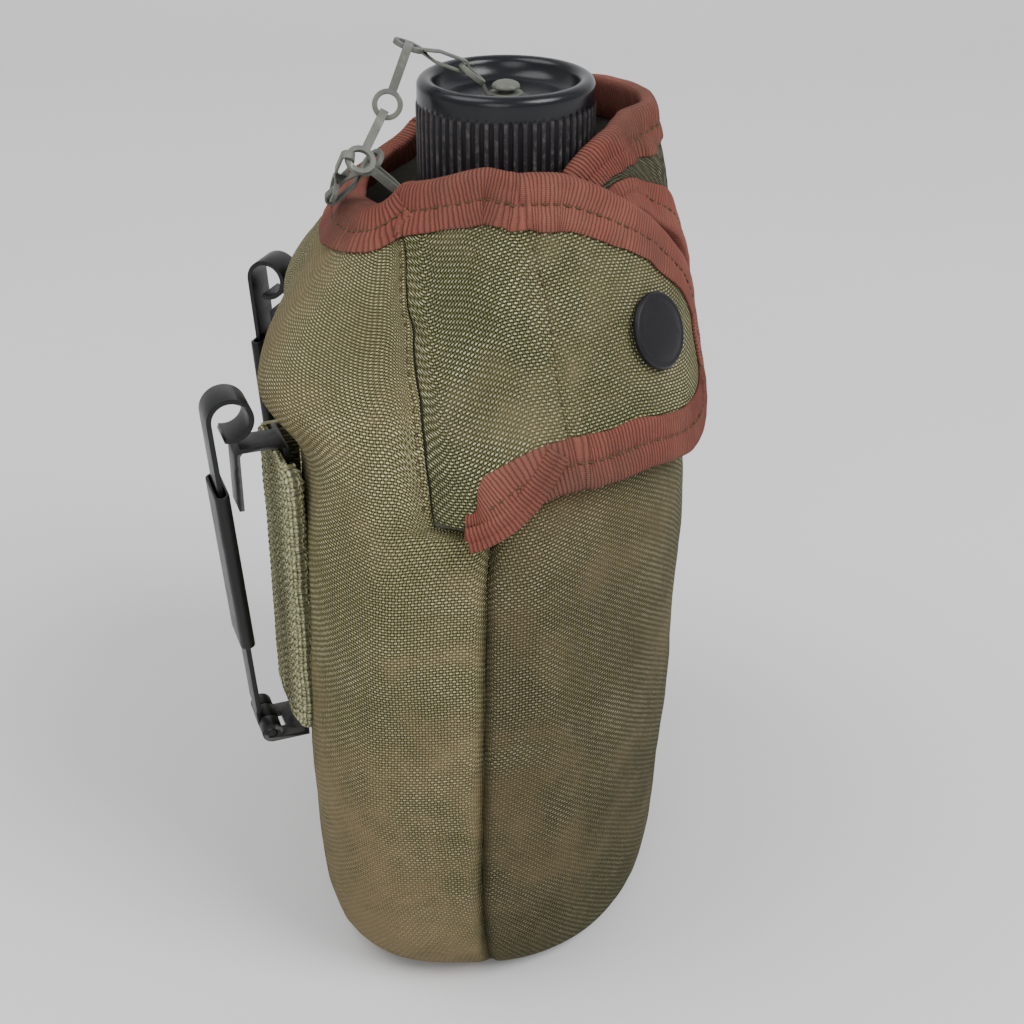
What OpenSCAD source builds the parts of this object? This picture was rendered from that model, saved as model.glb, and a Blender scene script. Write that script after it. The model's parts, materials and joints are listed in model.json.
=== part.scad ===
// One-quart service canteen in its canvas belt cover.
// Frame: +Z up, origin on the floor under the cap, snaps at the front (-Y), belt keepers behind (+Y).
// The cap's axis is the Z axis. Left is -X, right is +X, seen from behind the cover.

/* [Cover] */
// Half width of the cover at its middle
cover_half_width = 75; // [74:0.5:77]
// Half depth of the cover at its middle
cover_half_depth = 47; // [46:0.5:49]
// Thickness of the cotton duck
canvas = 1.8; // [1.4:0.1:1.9]
// Thickness of the felt lining
felt = 2; // [1:0.1:2]
// How far the edge tape reaches in from an edge
tape = 11; // [8:0.5:12]

/* [Cap] */
// Outer radius over the ribs
cap_r = 21; // [20:0.25:22]
// Underside of the cap's skirt
cap_foot = 183.6; // [183.2:0.1:184]
// Top of the cap's rim, the highest point of the bottle
cap_top = 216; // [214:0.5:217]
// Number of grip ribs
rib_count = 60; // [48:1:72]

/* [Bottle] */
// Wall of the metal bottle
shell_wall = 1; // [0.8:0.1:1.2]
// Radius of the neck's bore
neck_bore = 14.6; // [14:0.1:15]
// Outer radius of the neck at its thread crests
neck_r = 16.8; // [16.4:0.1:16.9]
// Height of the neck's rim
neck_top = 206; // [205:0.5:206]

/* [Belt keepers] */
// Turn of each keeper about the vertical, outwards
keeper_turn = 20; // [16:1:22]
// Lean of the outer bar away from the belt
bar_lean = 4; // [3:0.5:5]
// Width of the webbing loop
web_w = 25; // [22:1:26]

/* [Hidden] */
olive = [0.36, 0.38, 0.25];
felt_green = [0.42, 0.43, 0.34];
rust = [0.45, 0.2, 0.16];
black_steel = [0.1, 0.1, 0.11];
steel = [0.62, 0.63, 0.62];
grey_green = [0.42, 0.45, 0.4];
black_cap = [0.08, 0.08, 0.1];
webbing_green = [0.42, 0.45, 0.33];
skin = 0.1;
gap = 0.3;

// ---- Cross-sections -------------------------------------------------------------------------
// Columns: height, share of the half width, share of the half depth, middle, bend of the ends,
// dent at the back's middle, squareness of the outline
HEIGHT = 0;
WIDE = 1;
DEEP = 2;
MIDDLE = 3;
BEND = 4;
DENT = 5;
SQUARE = 6;
cover_stations = [
    [0, 0.773, 0.766, 4.5, 8, 4, 2.6],
    [1.5, 0.833, 0.851, 4.5, 8.5, 5, 2.6],
    [5, 0.887, 0.915, 4.5, 9, 6, 2.6],
    [12, 0.933, 0.957, 4.4, 9.5, 7, 2.6],
    [30, 0.98, 0.989, 4.2, 10, 7, 2.6],
    [60, 1, 1, 3.4, 10, 7, 2.6],
    [125, 1, 1, 2, 10, 7, 2.6],
    [135, 0.967, 0.996, 2.3, 9, 6.5, 2.6],
    [148, 0.887, 0.989, 4, 7, 5, 2.6],
    [162, 0.767, 0.979, 6.5, 5, 3.5, 2.6],
    [172, 0.673, 0.936, 6, 3.5, 2, 2.55],
    [180, 0.6, 0.851, 4.5, 2, 1, 2.5],
    [188, 0.533, 0.755, 3, 1, 0, 2.4],
    [198, 0.447, 0.67, 1.5, 0, 0, 2.2],
    [212, 0.373, 0.606, 0.6, 0, 0, 2]];
bottle_stations = [
    [4.4, 0.74, 0.68, 4.5, 8, 4, 2.6],
    [7, 0.815, 0.766, 4.5, 9, 6, 2.6],
    [12, 0.866, 0.83, 4.4, 9.5, 7, 2.6],
    [30, 0.914, 0.883, 4.2, 10, 7, 2.6],
    [60, 0.932, 0.9, 3.4, 10, 7, 2.6],
    [120, 0.932, 0.9, 2, 10, 7, 2.6],
    [135, 0.895, 0.883, 2.3, 9, 6.5, 2.55],
    [150, 0.78, 0.819, 2.5, 6.5, 5, 2.45],
    [162, 0.64, 0.702, 1.8, 4, 3, 2.3],
    [170, 0.507, 0.596, 1, 2, 1, 2.2],
    [176, 0.36, 0.5, 0.4, 0, 0, 2.1],
    [180, 0.256, 0.408, 0, 0, 0, 2]];
seam_line = 95;
dent_half_width = 24;

function column(stations, z, k) = lookup(z, [for (s = stations) [s[HEIGHT], s[k]]]);
function power(base, exponent) = sign(base) * pow(abs(base), exponent);
function ease(low, high, v) =
    let (t = max(0, min(1, (v - low) / (high - low)))) t * t * (3 - 2 * t);

// A point on a section: w is the angle from the right side (+X) towards the front (-Y),
// off the distance outside the section and shrink the scale about its middle.
function section_point(stations, w, z, off = 0, shrink = 1) =
    let (
        half_w = column(stations, z, WIDE) * cover_half_width + off,
        half_d = column(stations, z, DEEP) * cover_half_depth + off,
        sharp = 2 / column(stations, z, SQUARE),
        x = half_w * power(cos(w), sharp) * shrink,
        back = -sin(w),
        dent = back > 0
            ? column(stations, z, DENT) * back * exp(-pow(x / dent_half_width, 2)) : 0,
        y = half_d * power(back, sharp) * shrink
            + column(stations, z, BEND) * pow(x / 75, 2) - dent * shrink)
    [x, column(stations, z, MIDDLE) + y, z];
function cover_point(w, z, off = 0, shrink = 1) = section_point(cover_stations, w, z, off, shrink);

// ---- Closed solids from grids of points -----------------------------------------------------
// A sheet with an outer and an inner grid, both given as rows of points.
module sheet_solid(outer, inner) {
    rows = len(outer);
    cols = len(outer[0]);
    n = rows * cols;
    function o(i, j) = i * cols + j;
    polyhedron(
        points = concat([for (row = outer) each row], [for (row = inner) each row]),
        faces = concat(
            [for (i = [0:rows - 2], j = [0:cols - 2]) each
                [[o(i, j), o(i, j + 1), o(i + 1, j + 1)], [o(i, j), o(i + 1, j + 1), o(i + 1, j)],
                 [n + o(i, j), n + o(i + 1, j + 1), n + o(i, j + 1)],
                 [n + o(i, j), n + o(i + 1, j), n + o(i + 1, j + 1)]]],
            [for (j = [0:cols - 2]) each
                let (a = o(0, j), b = o(0, j + 1), c = o(rows - 1, j), d = o(rows - 1, j + 1))
                [[b, a, n + a], [b, n + a, n + b], [c, d, n + d], [c, n + d, n + c]]],
            [for (i = [0:rows - 2]) each
                let (a = o(i, 0), b = o(i + 1, 0), c = o(i, cols - 1), d = o(i + 1, cols - 1))
                [[a, b, n + b], [a, n + b, n + a], [d, c, n + c], [d, n + c, n + d]]]));
}

// Rings of points joined one to the next; looped joins the last to the first, or else both
// ends are closed with flat faces.
module ring_solid(rings, looped = false) {
    count = len(rings);
    m = len(rings[0]);
    function p(k, j) = (k % count) * m + j % m;
    polyhedron(
        points = [for (ring = rings) each ring],
        faces = concat(
            [for (k = [0:count - (looped ? 1 : 2)], j = [0:m - 1]) each
                [[p(k, j), p(k, j + 1), p(k + 1, j + 1)], [p(k, j), p(k + 1, j + 1), p(k + 1, j)]]],
            looped ? [] : [[for (j = [m - 1:-1:0]) p(0, j)], [for (j = [0:m - 1]) p(count - 1, j)]]));
}

// Folded tape: each ring has the eight corners of a U, whose open side faces inwards.
module tape_solid(rings) {
    last = (len(rings) - 1) * 8;
    caps = [[0, 1, 6, 7], [1, 2, 5, 6], [2, 3, 4, 5]];
    polyhedron(
        points = [for (ring = rings) each ring],
        faces = concat(
            [for (k = [0:len(rings) - 2], j = [0:7]) each
                let (a = k * 8, b = a + 8, t = (j + 1) % 8)
                [[a + j, b + j, b + t], [a + j, b + t, a + t]]],
            [for (q = caps) each [[q[0], q[1], q[2]], [q[0], q[2], q[3]]]],
            [for (q = caps) each
                [[last + q[0], last + q[2], last + q[1]], [last + q[0], last + q[3], last + q[2]]]]));
}

// Offsets of a folded tape's eight corners: distance from the edge and level.
tape_t = 1.1;
tape_fold = 0.8;
tape_slack = 0.5;
function tape_corners(out, inn, w = tape) = [
    [w, out + tape_t], [-tape_fold, out + tape_t], [-tape_fold, inn - tape_t], [w, inn - tape_t],
    [w, inn - tape_slack], [-skin, inn - tape_slack], [-skin, out + tape_slack],
    [w, out + tape_slack]];

// ---- The cover's panels ---------------------------------------------------------------------
side_seam = 5.7;
seam_gap = 0.6;
slit_z = 135;
hinge_foot = 137;
hinge_head = 198;
// Angle of the line where each flap is sewn to the back panel, by height
hinge_line = [[137, -3], [149, -5.7], [161, -7.6], [173, -12.9], [185, -24.3], [198, -41]];
function hinge_w(z) = lookup(z, hinge_line);
base_shrinks = [0.05, 0.35, 0.7];
low_rows = [0, 1.5, 5, 12, 30, 60, 95, 125, 133];
high_shares = [0, 0.2, 0.4, 0.6, 0.8, 1];

// The back panel is the cover from side seam to side seam behind; above the slit it narrows
// to the lines where the flaps are sewn on. k runs from -1 on the left to 1 on the right.
function back_top(k) = 190 + 7 * pow(abs(k), 3);
function back_edge_w(z) = z < slit_z ? side_seam - seam_gap : hinge_w(z) - 1.2;
function back_w(k, z) = -90 + (90 + back_edge_w(z)) * k;
function back_high_z(k, share) = slit_z + (back_top(k) - slit_z) * share;

// The front panel runs round the front below the flaps and dips in the middle of its top edge.
function front_w(k) = 90 + (90 - side_seam - seam_gap) * k;
function front_top(k) = 182 - 18 * exp(-pow(k / 0.22, 2));
function lift_in(z, off) = z + max(0, -off) * (1 - ease(0, 12, z));

function panel_grid(back, off, cols, top_cut = 0) =
    let (ks = [for (j = [0:cols]) -1 + 2 * j / cols])
    concat(
        [for (s = base_shrinks) [for (k = ks)
            let (w = back ? back_w(k, 0) : front_w(k)) cover_point(w, 0, off, s) - [0, 0, min(off, 0)]]],
        [for (z = low_rows) [for (k = ks)
            let (w = back ? back_w(k, z) : front_w(k), p = cover_point(w, z, off))
            [p[0], p[1], lift_in(z, off)]]],
        [for (share = high_shares) [for (k = ks)
            let (
                z = back ? back_high_z(k, share) - top_cut * share
                    : slit_z + (front_top(k) - top_cut - slit_z) * share)
            cover_point(back ? back_w(k, z) : front_w(k), z, off)]]);

module panel(back, out, inn, cols, top_cut = 0)
    sheet_solid(panel_grid(back, out, cols, top_cut), panel_grid(back, inn, cols, top_cut));

panel_cols = 28;
felt_out = -canvas - skin;
felt_in = felt_out - felt;
module cover_back_panel() color(olive) panel(true, 0, -canvas, panel_cols);
module cover_front_panel() color(olive) panel(false, 0, -canvas, panel_cols);
module back_felt_lining() color(felt_green) panel(true, felt_out, felt_in, panel_cols);
module front_felt_lining() color(felt_green) panel(false, felt_out, felt_in, panel_cols);

edge_steps = panel_cols;
module back_edge_tape() color(rust) tape_solid([for (i = [0:edge_steps])
    let (k = -1 + 2 * i / edge_steps, z = back_top(k))
    [for (c = tape_corners(0, felt_in)) cover_point(back_w(k, z), z - c[0], c[1])]]);
module front_edge_tape() color(rust) tape_solid([for (i = [0:edge_steps])
    let (k = -1 + 2 * i / edge_steps, z = front_top(k))
    [for (c = tape_corners(0, felt_in, 8)) cover_point(front_w(k), z - c[0], c[1])]]);

// ---- Flaps ----------------------------------------------------------------------------------
// Edges of a flap from the line where it is sewn on (share 0) to its free end (share 1):
// share, angle w, height. Both flaps have the same lower edge; the right one carries on round
// the front of the neck in a tongue.
left_flap_top = [[0, -41, 198], [0.12, -29, 199.5], [0.3, -8, 203], [0.5, 22, 203],
    [0.62, 38, 198.5], [0.78, 60, 190], [0.9, 76, 179], [1, 83, 168]];
left_flap_low = [[0, -3, 137], [0.1, 4, 136], [0.25, 16, 145], [0.5, 44, 145],
    [0.75, 67, 140], [0.88, 77, 141], [1, 83, 149]];
right_flap_top = [[0, -41, 198], [0.12, -29, 199.8], [0.3, -8, 204], [0.45, 22, 207],
    [0.55, 45, 209], [0.68, 75, 210], [0.78, 100, 209], [0.9, 130, 207], [1, 152, 205]];
right_flap_low = [[0, -3, 137], [0.08, 4, 136], [0.2, 16, 145], [0.4, 44, 145],
    [0.55, 68, 140], [0.62, 80, 142], [0.67, 87, 152], [0.72, 88, 167], [0.78, 95, 181],
    [0.88, 115, 193.5], [1, 148, 203]];
flap_t = 2.4;
flap_canvas = 1.3;
hinge_step = 0.8;

function edge_at(edge, s, k) = lookup(s, [for (e = edge) [e[0], e[k]]]);
// How far the flap stands off the cover: flush where it is sewn on, clear of the front panel and
// its snap further round, and drawn in towards the neck in the right flap's tongue.
function flap_level(w, z) =
    let (
        base = 0.2 + 4.4 * ease(-6, 5.5, w) + 1.4 * ease(8, 35, w),
        tongue = ease(88, 104, w) * ease(172, 196, z))
    base * (1 - tongue) + tongue * (0.5 - 3.5 * ease(104, 152, w));
function flap_w(edges, s, t) =
    let (
        low = edge_at(edges[0], s, 1), high = edge_at(edges[1], s, 1),
        z0 = hinge_foot + (hinge_head - hinge_foot) * t,
        bow = hinge_w(z0) - (hinge_w(hinge_foot) + (hinge_w(hinge_head) - hinge_w(hinge_foot)) * t))
    low + (high - low) * t + bow * pow(max(0, 1 - s), 4) + hinge_step;
function flap_z(edges, s, t) =
    edge_at(edges[0], s, 2) + (edge_at(edges[1], s, 2) - edge_at(edges[0], s, 2)) * t;
function flap_point(edges, s, t, off) =
    let (w = flap_w(edges, s, t), z = flap_z(edges, s, t))
    cover_point(w, z, flap_level(w, z) + off);
// Shares of the flap's height and length that a distance from its edges takes up
function flap_height(edges, s) = norm(flap_point(edges, s, 1, 0) - flap_point(edges, s, 0, 0));
function inset_t(edges, s, d) = min(0.46, d / max(flap_height(edges, s), 1));
flap_len = 150;

function flap_grid(edges, off, cols, rows, d) = [for (i = [0:rows]) [for (j = [0:cols])
    let (
        s = (1 - d / flap_len) * j / cols,
        cut = inset_t(edges, s, d),
        t = cut + (1 - 2 * cut) * i / rows)
    flap_point(edges, s, t, off)]];
module flap_sheet(edges, out, inn, cols, rows, d)
    sheet_solid(flap_grid(edges, out, cols, rows, d), flap_grid(edges, inn, cols, rows, d));

// The tape follows the flap's edge: along the top, round the free end and back along the foot.
tape_steps = 32;
tape_end_steps = 5;
function tape_path() = concat(
    [for (i = [0:tape_steps]) [i / tape_steps, 1, 0, -1]],
    [for (i = [1:tape_end_steps - 1]) [1, 1 - i / tape_end_steps, -1, 0]],
    [for (i = [tape_steps:-1:0]) [i / tape_steps, 0, 0, 1]]);
function tape_ring(edges, at) =
    let (
        end_pull = at[3] == 0 ? 1 : ease(1 - tape / flap_len, 1, at[0]))
    [for (c = tape_corners(0, -flap_t))
        let (
            s = at[0] - c[0] / flap_len * end_pull,
            d = inset_t(edges, min(s, 1), abs(c[0])) * sign(c[0]),
            t = at[3] == 0 ? min(max(at[1], d), 1 - d) : at[1] + at[3] * d)
        flap_point(edges, s, t, c[1])];
module flap_tape(edges) tape_solid([for (at = tape_path()) tape_ring(edges, at)]);

left_edges = [left_flap_low, left_flap_top];
right_edges = [right_flap_low, right_flap_top];
flap_rows = 10;
// The cloth stops this far inside the folded tape
cloth_inset = 2;
module mirrored() mirror([1, 0, 0]) children();
module left_flap() color(olive) mirrored()
    flap_sheet(left_edges, 0, -flap_canvas, tape_steps, flap_rows, cloth_inset);
module left_flap_lining() color(felt_green) mirrored()
    flap_sheet(left_edges, -flap_canvas - skin, -flap_t, tape_steps, flap_rows, cloth_inset);
module left_flap_tape() color(rust) mirrored() flap_tape(left_edges);
module right_flap() color(olive)
    flap_sheet(right_edges, 0, -flap_canvas, tape_steps, flap_rows, cloth_inset);
module right_flap_lining() color(felt_green)
    flap_sheet(right_edges, -flap_canvas - skin, -flap_t, tape_steps, flap_rows, cloth_inset);
module right_flap_tape() color(rust) flap_tape(right_edges);

// ---- Snap fasteners -------------------------------------------------------------------------
snap_w = 49;
snap_z = 168;
snap_r = 8.75;
socket_r = 5.5;
knob_r = 2.6;
stud_r = 5;
// Places children with +Z along the cover's outward direction at the snap.
module at_snap() {
    here = cover_point(snap_w, snap_z);
    across = cover_point(snap_w + 1, snap_z) - cover_point(snap_w - 1, snap_z);
    up = cover_point(snap_w, snap_z + 2) - cover_point(snap_w, snap_z - 2);
    out = cross(up, across);
    n = out / norm(out) * (out[0] > 0 ? 1 : -1);
    translate(here) rotate([0, acos(n[2]), atan2(n[1], n[0])]) children();
}
flap_out = flap_level(snap_w, snap_z);
module snap_cap() at_snap() translate([0, 0, flap_out + 0.15])
    rotate_extrude($fn = 64) polygon(concat([[0, 0], [snap_r - 0.6, 0], [snap_r, 0.7]],
        [for (a = [20:10:90]) [(snap_r - 0.3) * cos(a), 0.7 + 1.7 * sin(a)]]));
module snap_socket() at_snap() translate([0, 0, flap_out - flap_t - 2.2]) difference() {
    cylinder(r = socket_r, h = 1.2, $fn = 48);
    translate([0, 0, -1]) cylinder(r = knob_r + 0.35, h = 4, $fn = 48);
}
module stud() at_snap() translate([0, 0, 0.15]) {
    cylinder(r = stud_r, h = 0.5, $fn = 48);
    cylinder(r = knob_r, h = 2.3, $fn = 48);
}
module eyelet() at_snap() translate([0, 0, felt_in - 1.4]) difference() {
    cylinder(r = 4, h = 0.5, $fn = 48);
    translate([0, 0, -1]) cylinder(r = 2, h = 3, $fn = 48);
}
module both_sides() {
    children();
    mirrored() children();
}
module snap_studs() color(black_steel) both_sides() stud();
module snap_stud_eyelets() color(black_steel) both_sides() eyelet();
module left_snap_cap() color(black_steel) mirrored() snap_cap();
module right_snap_cap() color(black_steel) snap_cap();
module left_snap_socket() color(steel) mirrored() snap_socket();
module right_snap_socket() color(steel) snap_socket();

// ---- Webbing loops and belt keepers ---------------------------------------------------------
// Written for the right side. In the keeper's own frame X runs along the belt, Y away from it.
keeper_at = [39.5, 53.2, 0];
web_low = 68.5;
web_high = 141;
web_t = 1.5;
// Distance in from the loop's face to the cover at its outer edge and at its inner edge
web_reach_outer = 1.4;
web_reach_inner = 7.9;
module in_keeper() translate(keeper_at) rotate([0, 0, -keeper_turn]) children();
// The webbing lies over the bar like a flat sleeve, sewn down along both edges.
module webbing_loop() in_keeper() translate([0, 0, web_low]) linear_extrude(web_high - web_low)
    polygon([[-web_w / 2, web_t], [web_w / 2, web_t], [web_w / 2, -web_reach_outer],
        [web_w / 2 - 2, -web_reach_outer - 0.4], [web_w / 2 - 2, 0], [2 - web_w / 2, 0],
        [2 - web_w / 2, -web_reach_inner + 0.4], [-web_w / 2, -web_reach_inner]]);

bar_w = 14;
bar_t = 1.2;
hook_z = web_high + 0.8;
pin_at = [7.6, 65];
knuckle_r = 2.6;
pin_r = 1.2;
pin_fit = 0.05;
tongue_y = 10.4;
tongue_w = 8;
centre_knuckle_w = 5;
module along_belt(w) rotate([90, 0, 90]) translate([0, 0, -w / 2]) linear_extrude(w) children();
module at_pin() translate([0, pin_at[0], pin_at[1]]) children();
module knuckle(x, w) at_pin() translate([x, 0, 0]) rotate([0, 90, 0])
    difference() {
        translate([0, 0, -w / 2]) cylinder(r = knuckle_r, h = w, $fn = 48);
        translate([0, 0, -w]) cylinder(r = pin_r + pin_fit, h = 2 * w, $fn = 48);
    }
side_knuckle_w = (bar_w - centre_knuckle_w) / 2 - gap;
module keeper_back_bar() in_keeper() {
    // Behind the webbing, out under its lower edge to the pin
    along_belt(bar_w) polygon([[-0.4 - bar_t, 62.4], [-0.4 - bar_t, hook_z + bar_t],
        [-0.4, hook_z + bar_t], [-0.4, 63.6], [3.4, 63.6], [3.4, 62.4]]);
    for (side = [-1, 1]) translate([side * (bar_w - side_knuckle_w) / 2, 0, 0]) {
        along_belt(side_knuckle_w) polygon([[3.3, 62.4], [3.3, 63.6], [7.4, 63.6], [7.4, 62.4]]);
        knuckle(0, side_knuckle_w);
    }
    // Over the webbing's upper edge and down as a tongue
    along_belt(tongue_w) polygon([[-0.5, hook_z], [-0.5, hook_z + bar_t],
        [tongue_y - 1.4, hook_z + bar_t], [tongue_y, hook_z - 0.2], [tongue_y, 127],
        [tongue_y - bar_t, 127], [tongue_y - bar_t, hook_z - 0.8], [tongue_y - 1.8, hook_z]]);
}
module keeper_pin() in_keeper() at_pin() rotate([0, 90, 0])
    translate([0, 0, -bar_w / 2]) cylinder(r = pin_r, h = bar_w, $fn = 48);

// The outer bar stands on the pin and leans away from the belt; the slide rides on it.
outer_w = 9;
outer_t = 1.2;
curl_r = 5.5;
curl_z = 85.5;
slide_low = 26;
slide_high = 68;
curl_turn = 292;
curl_steps = 30;
function curl_arc(r) = [for (i = [curl_steps:-1:0]) let (a = curl_turn * i / curl_steps)
    [1.5 + outer_t - curl_r + r * cos(a), curl_z + r * sin(a)]];
module leaning() at_pin() rotate([-bar_lean, 0, 0]) children();
module keeper_outer_bar() in_keeper() {
    knuckle(0, centre_knuckle_w);
    leaning() {
        along_belt(centre_knuckle_w) polygon([[1.5, 0], [1.5, 6], [1.5 + outer_t, 6],
            [1.5 + outer_t, 0]]);
        // The strip rises from the knuckle and ends in a finger curl, open at its lower inner side
        along_belt(outer_w) polygon(concat([[1.5 + outer_t, 5], [1.5, 5]],
            reversed(curl_arc(curl_r - outer_t)), curl_arc(curl_r)));
    }
}
slide_w = 13;
slide_inner = [10, 2];
slide_t = 0.8;
module keeper_slide() in_keeper() leaning() translate([0, 0, slide_low])
    linear_extrude(slide_high - slide_low) difference() {
        translate([0, 1.5 + outer_t / 2]) slide_outline(slide_t);
        translate([0, 1.5 + outer_t / 2]) slide_outline(0);
    }
module slide_outline(wall) {
    half = slide_inner[0] / 2;
    r = slide_inner[1] / 2 + wall;
    translate([-half, -r]) square([2 * half, 2 * r]);
    for (side = [-half, half]) translate([side, 0]) circle(r = r, $fn = 32);
}
module right_webbing_loop() color(webbing_green) webbing_loop();
module left_webbing_loop() color(webbing_green) mirrored() webbing_loop();
module right_keeper_back_bar() color(black_steel) keeper_back_bar();
module left_keeper_back_bar() color(black_steel) mirrored() keeper_back_bar();
module right_keeper_outer_bar() color(black_steel) keeper_outer_bar();
module left_keeper_outer_bar() color(black_steel) mirrored() keeper_outer_bar();
module right_keeper_pin() color(black_steel) keeper_pin();
module left_keeper_pin() color(black_steel) mirrored() keeper_pin();
module right_keeper_slide() color(black_steel) keeper_slide();
module left_keeper_slide() color(black_steel) mirrored() keeper_slide();

// ---- Bottle ---------------------------------------------------------------------------------
ring_points = 40;
weld_z = 95;
bottle_low = [4.4, 7, 12, 30, 60, 94.95];
bottle_high = [95.05, 120, 135, 150, 162, 170, 176, 180];
function bottle_ring(z, off, lift = 0) = [for (j = [0:ring_points - 1])
    let (p = section_point(bottle_stations, j * 360 / ring_points, z, off)) [p[0], p[1], z + lift]];
function reversed(list) = [for (i = [len(list) - 1:-1:0]) list[i]];
module bottle_lower_shell() color(steel) ring_solid(concat(
    [for (z = bottle_low) bottle_ring(z, 0)],
    [for (z = reversed(bottle_low)) bottle_ring(z, -shell_wall, z < 5 ? shell_wall : 0)]));
module bottle_upper_shell() color(steel) ring_solid(concat(
    [for (z = bottle_high) bottle_ring(z, 0)],
    [for (z = reversed(bottle_high)) bottle_ring(z, -shell_wall)]), looped = true);
neck_foot = 178;
flange_z = 180.1;
module bottle_neck() color(steel) rotate_extrude($fn = 96)
    polygon([[neck_bore, neck_foot], [neck_r, neck_foot], [neck_r, flange_z], [20, flange_z],
        [20, flange_z + 1], [neck_r, flange_z + 1.4], [neck_r, neck_top], [neck_bore, neck_top]]);
collar_z = 182;
collar_t = 1;
ear_at = 24.6;
ear_turn = 135;
eye_r = 2.3;
eye_rim = 1.2;
module chain_collar() color(grey_green) translate([0, 0, collar_z]) difference() {
    union() {
        cylinder(r = neck_r + 2, h = collar_t, $fn = 96);
        rotate(ear_turn) translate([ear_at, 0, 0]) cylinder(r = eye_r + eye_rim, h = collar_t, $fn = 48);
        rotate(ear_turn) translate([neck_r + 1, -2, 0]) cube([5, 4, collar_t]);
    }
    translate([0, 0, -1]) cylinder(r = neck_r + 0.05, h = 4, $fn = 96);
    rotate(ear_turn) translate([ear_at, 0, -1]) cylinder(r = eye_r, h = 4, $fn = 48);
}

// ---- Cap ------------------------------------------------------------------------------------
gasket_t = 2;
cap_bore = neck_r + 0.5;
web_under = neck_top + gasket_t + 0.05;
floor_z = 211;
rib_top = 210.8;
rim_r = 19;
rivet_r = 1.5;
rib_depth = 0.35;
module cap_shell() color(black_cap) difference() {
    union() {
        translate([0, 0, cap_foot]) linear_extrude(rib_top - cap_foot)
            polygon([for (i = [0:rib_count * 4 - 1])
                let (a = i * 90 / rib_count, r = cap_r - rib_depth * (i % 4 < 2 ? 0 : 1))
                [r * cos(a), r * sin(a)]]);
        rotate_extrude($fn = 96) polygon(concat([[0, 209], [cap_r - 0.2, 209], [cap_r - 0.2, 212]],
            [for (a = [0:15:180]) [rim_r + (cap_r - 0.2 - rim_r) * cos(a), cap_top - 2 + 2 * sin(a)]],
            [[rim_r - 2.4, 213.2], [rim_r - 4, floor_z + 0.4], [rim_r - 6, floor_z], [0, floor_z]]));
    }
    translate([0, 0, cap_foot - 1]) cylinder(r = cap_bore, h = web_under - cap_foot + 1, $fn = 96);
    translate([0, 0, 200]) cylinder(r = rivet_r + 0.05, h = 20, $fn = 48);
}
module cap_gasket() color([0.3, 0.2, 0.14]) difference() {
    translate([0, 0, neck_top]) cylinder(r = neck_r, h = gasket_t, $fn = 96);
    translate([0, 0, neck_top - 1]) cylinder(r = 5, h = 4, $fn = 48);
}
washer_t = 0.8;
washer_top = web_under - 0.05;
module cap_washer() color(steel) difference() {
    translate([0, 0, washer_top - washer_t]) cylinder(r = 4, h = washer_t, $fn = 48);
    translate([0, 0, washer_top - 2]) cylinder(r = rivet_r, h = 4, $fn = 48);
}
tab_z = floor_z + 0.3;
tab_t = 0.8;
module cap_rivet() color(grey_green) rotate_extrude($fn = 64)
    polygon(concat([[0, washer_top - washer_t - 0.9], [2.6, washer_top - washer_t - 0.9],
        [2.6, washer_top - washer_t], [rivet_r, washer_top - washer_t],
        [rivet_r, tab_z + tab_t + 1], [3.3, tab_z + tab_t + 1]],
        [for (a = [0:15:90]) [3.3 * cos(a), tab_z + tab_t + 1.4 + 1.4 * sin(a)]]));

// ---- Chain ----------------------------------------------------------------------------------
// Each link is a folded strip: a bend at one end and a flat eye at the other, through which the
// next link's bend passes. A link's frame has its origin at the centre of its bend, X along the
// link and Z square to its eye.
link_pitch = 16.2;
link_w = 2;
link_t = 0.6;
bend_r = 1;
eye_mid = eye_r + eye_rim / 2;
eye_t = 1.2;
// Turn of each link round the eye before it, and its fold about the eye's rim, in degrees
link_turns = [[-3, -18], [83, -75], [-7, 33], [-72, -92], [24, -150], [84, 89]];
// The tab's eye: direction about the cap's axis, distance out, height and rise
tab_turn = 100;
tab_eye = [7.8, 216.6];
tab_rise = 40;
module in_tab() rotate(tab_turn) children();
module in_link(k) {
    if (k == 0) in_tab() translate([tab_eye[0], 0, tab_eye[1]]) rotate([0, -tab_rise, 0])
        translate([eye_mid - link_pitch, 0, 0]) children();
    else in_link(k - 1) translate([link_pitch - eye_mid, 0, 0]) rotate(link_turns[k - 1][0])
        translate([eye_mid, 0, 0]) rotate([0, -link_turns[k - 1][1], 0]) children();
}
module eye() difference() {
    cylinder(r = eye_r + eye_rim, h = eye_t, center = true, $fn = 48);
    cylinder(r = eye_r, h = 2 * eye_t, center = true, $fn = 48);
}
leg = 6;
eye_start = link_pitch - eye_mid - eye_r - eye_rim;
module strip(w) rotate([90, 0, 0]) translate([0, 0, -w / 2]) linear_extrude(w) children();
module link() {
    strip(link_w) difference() {
        union() {
            circle(r = bend_r + link_t, $fn = 48);
            polygon([[0, bend_r + link_t], [leg, bend_r + link_t], [eye_start, eye_t / 2],
                [eye_start + 0.7, eye_t / 2], [eye_start + 0.7, -eye_t / 2],
                [eye_start, -eye_t / 2], [leg, -bend_r - link_t], [0, -bend_r - link_t]]);
        }
        circle(r = bend_r, $fn = 48);
        polygon([[0, bend_r], [leg, bend_r], [eye_start - 0.2, 0], [leg, -bend_r], [0, -bend_r]]);
    }
    translate([link_pitch - eye_mid, 0, 0]) eye();
}
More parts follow.
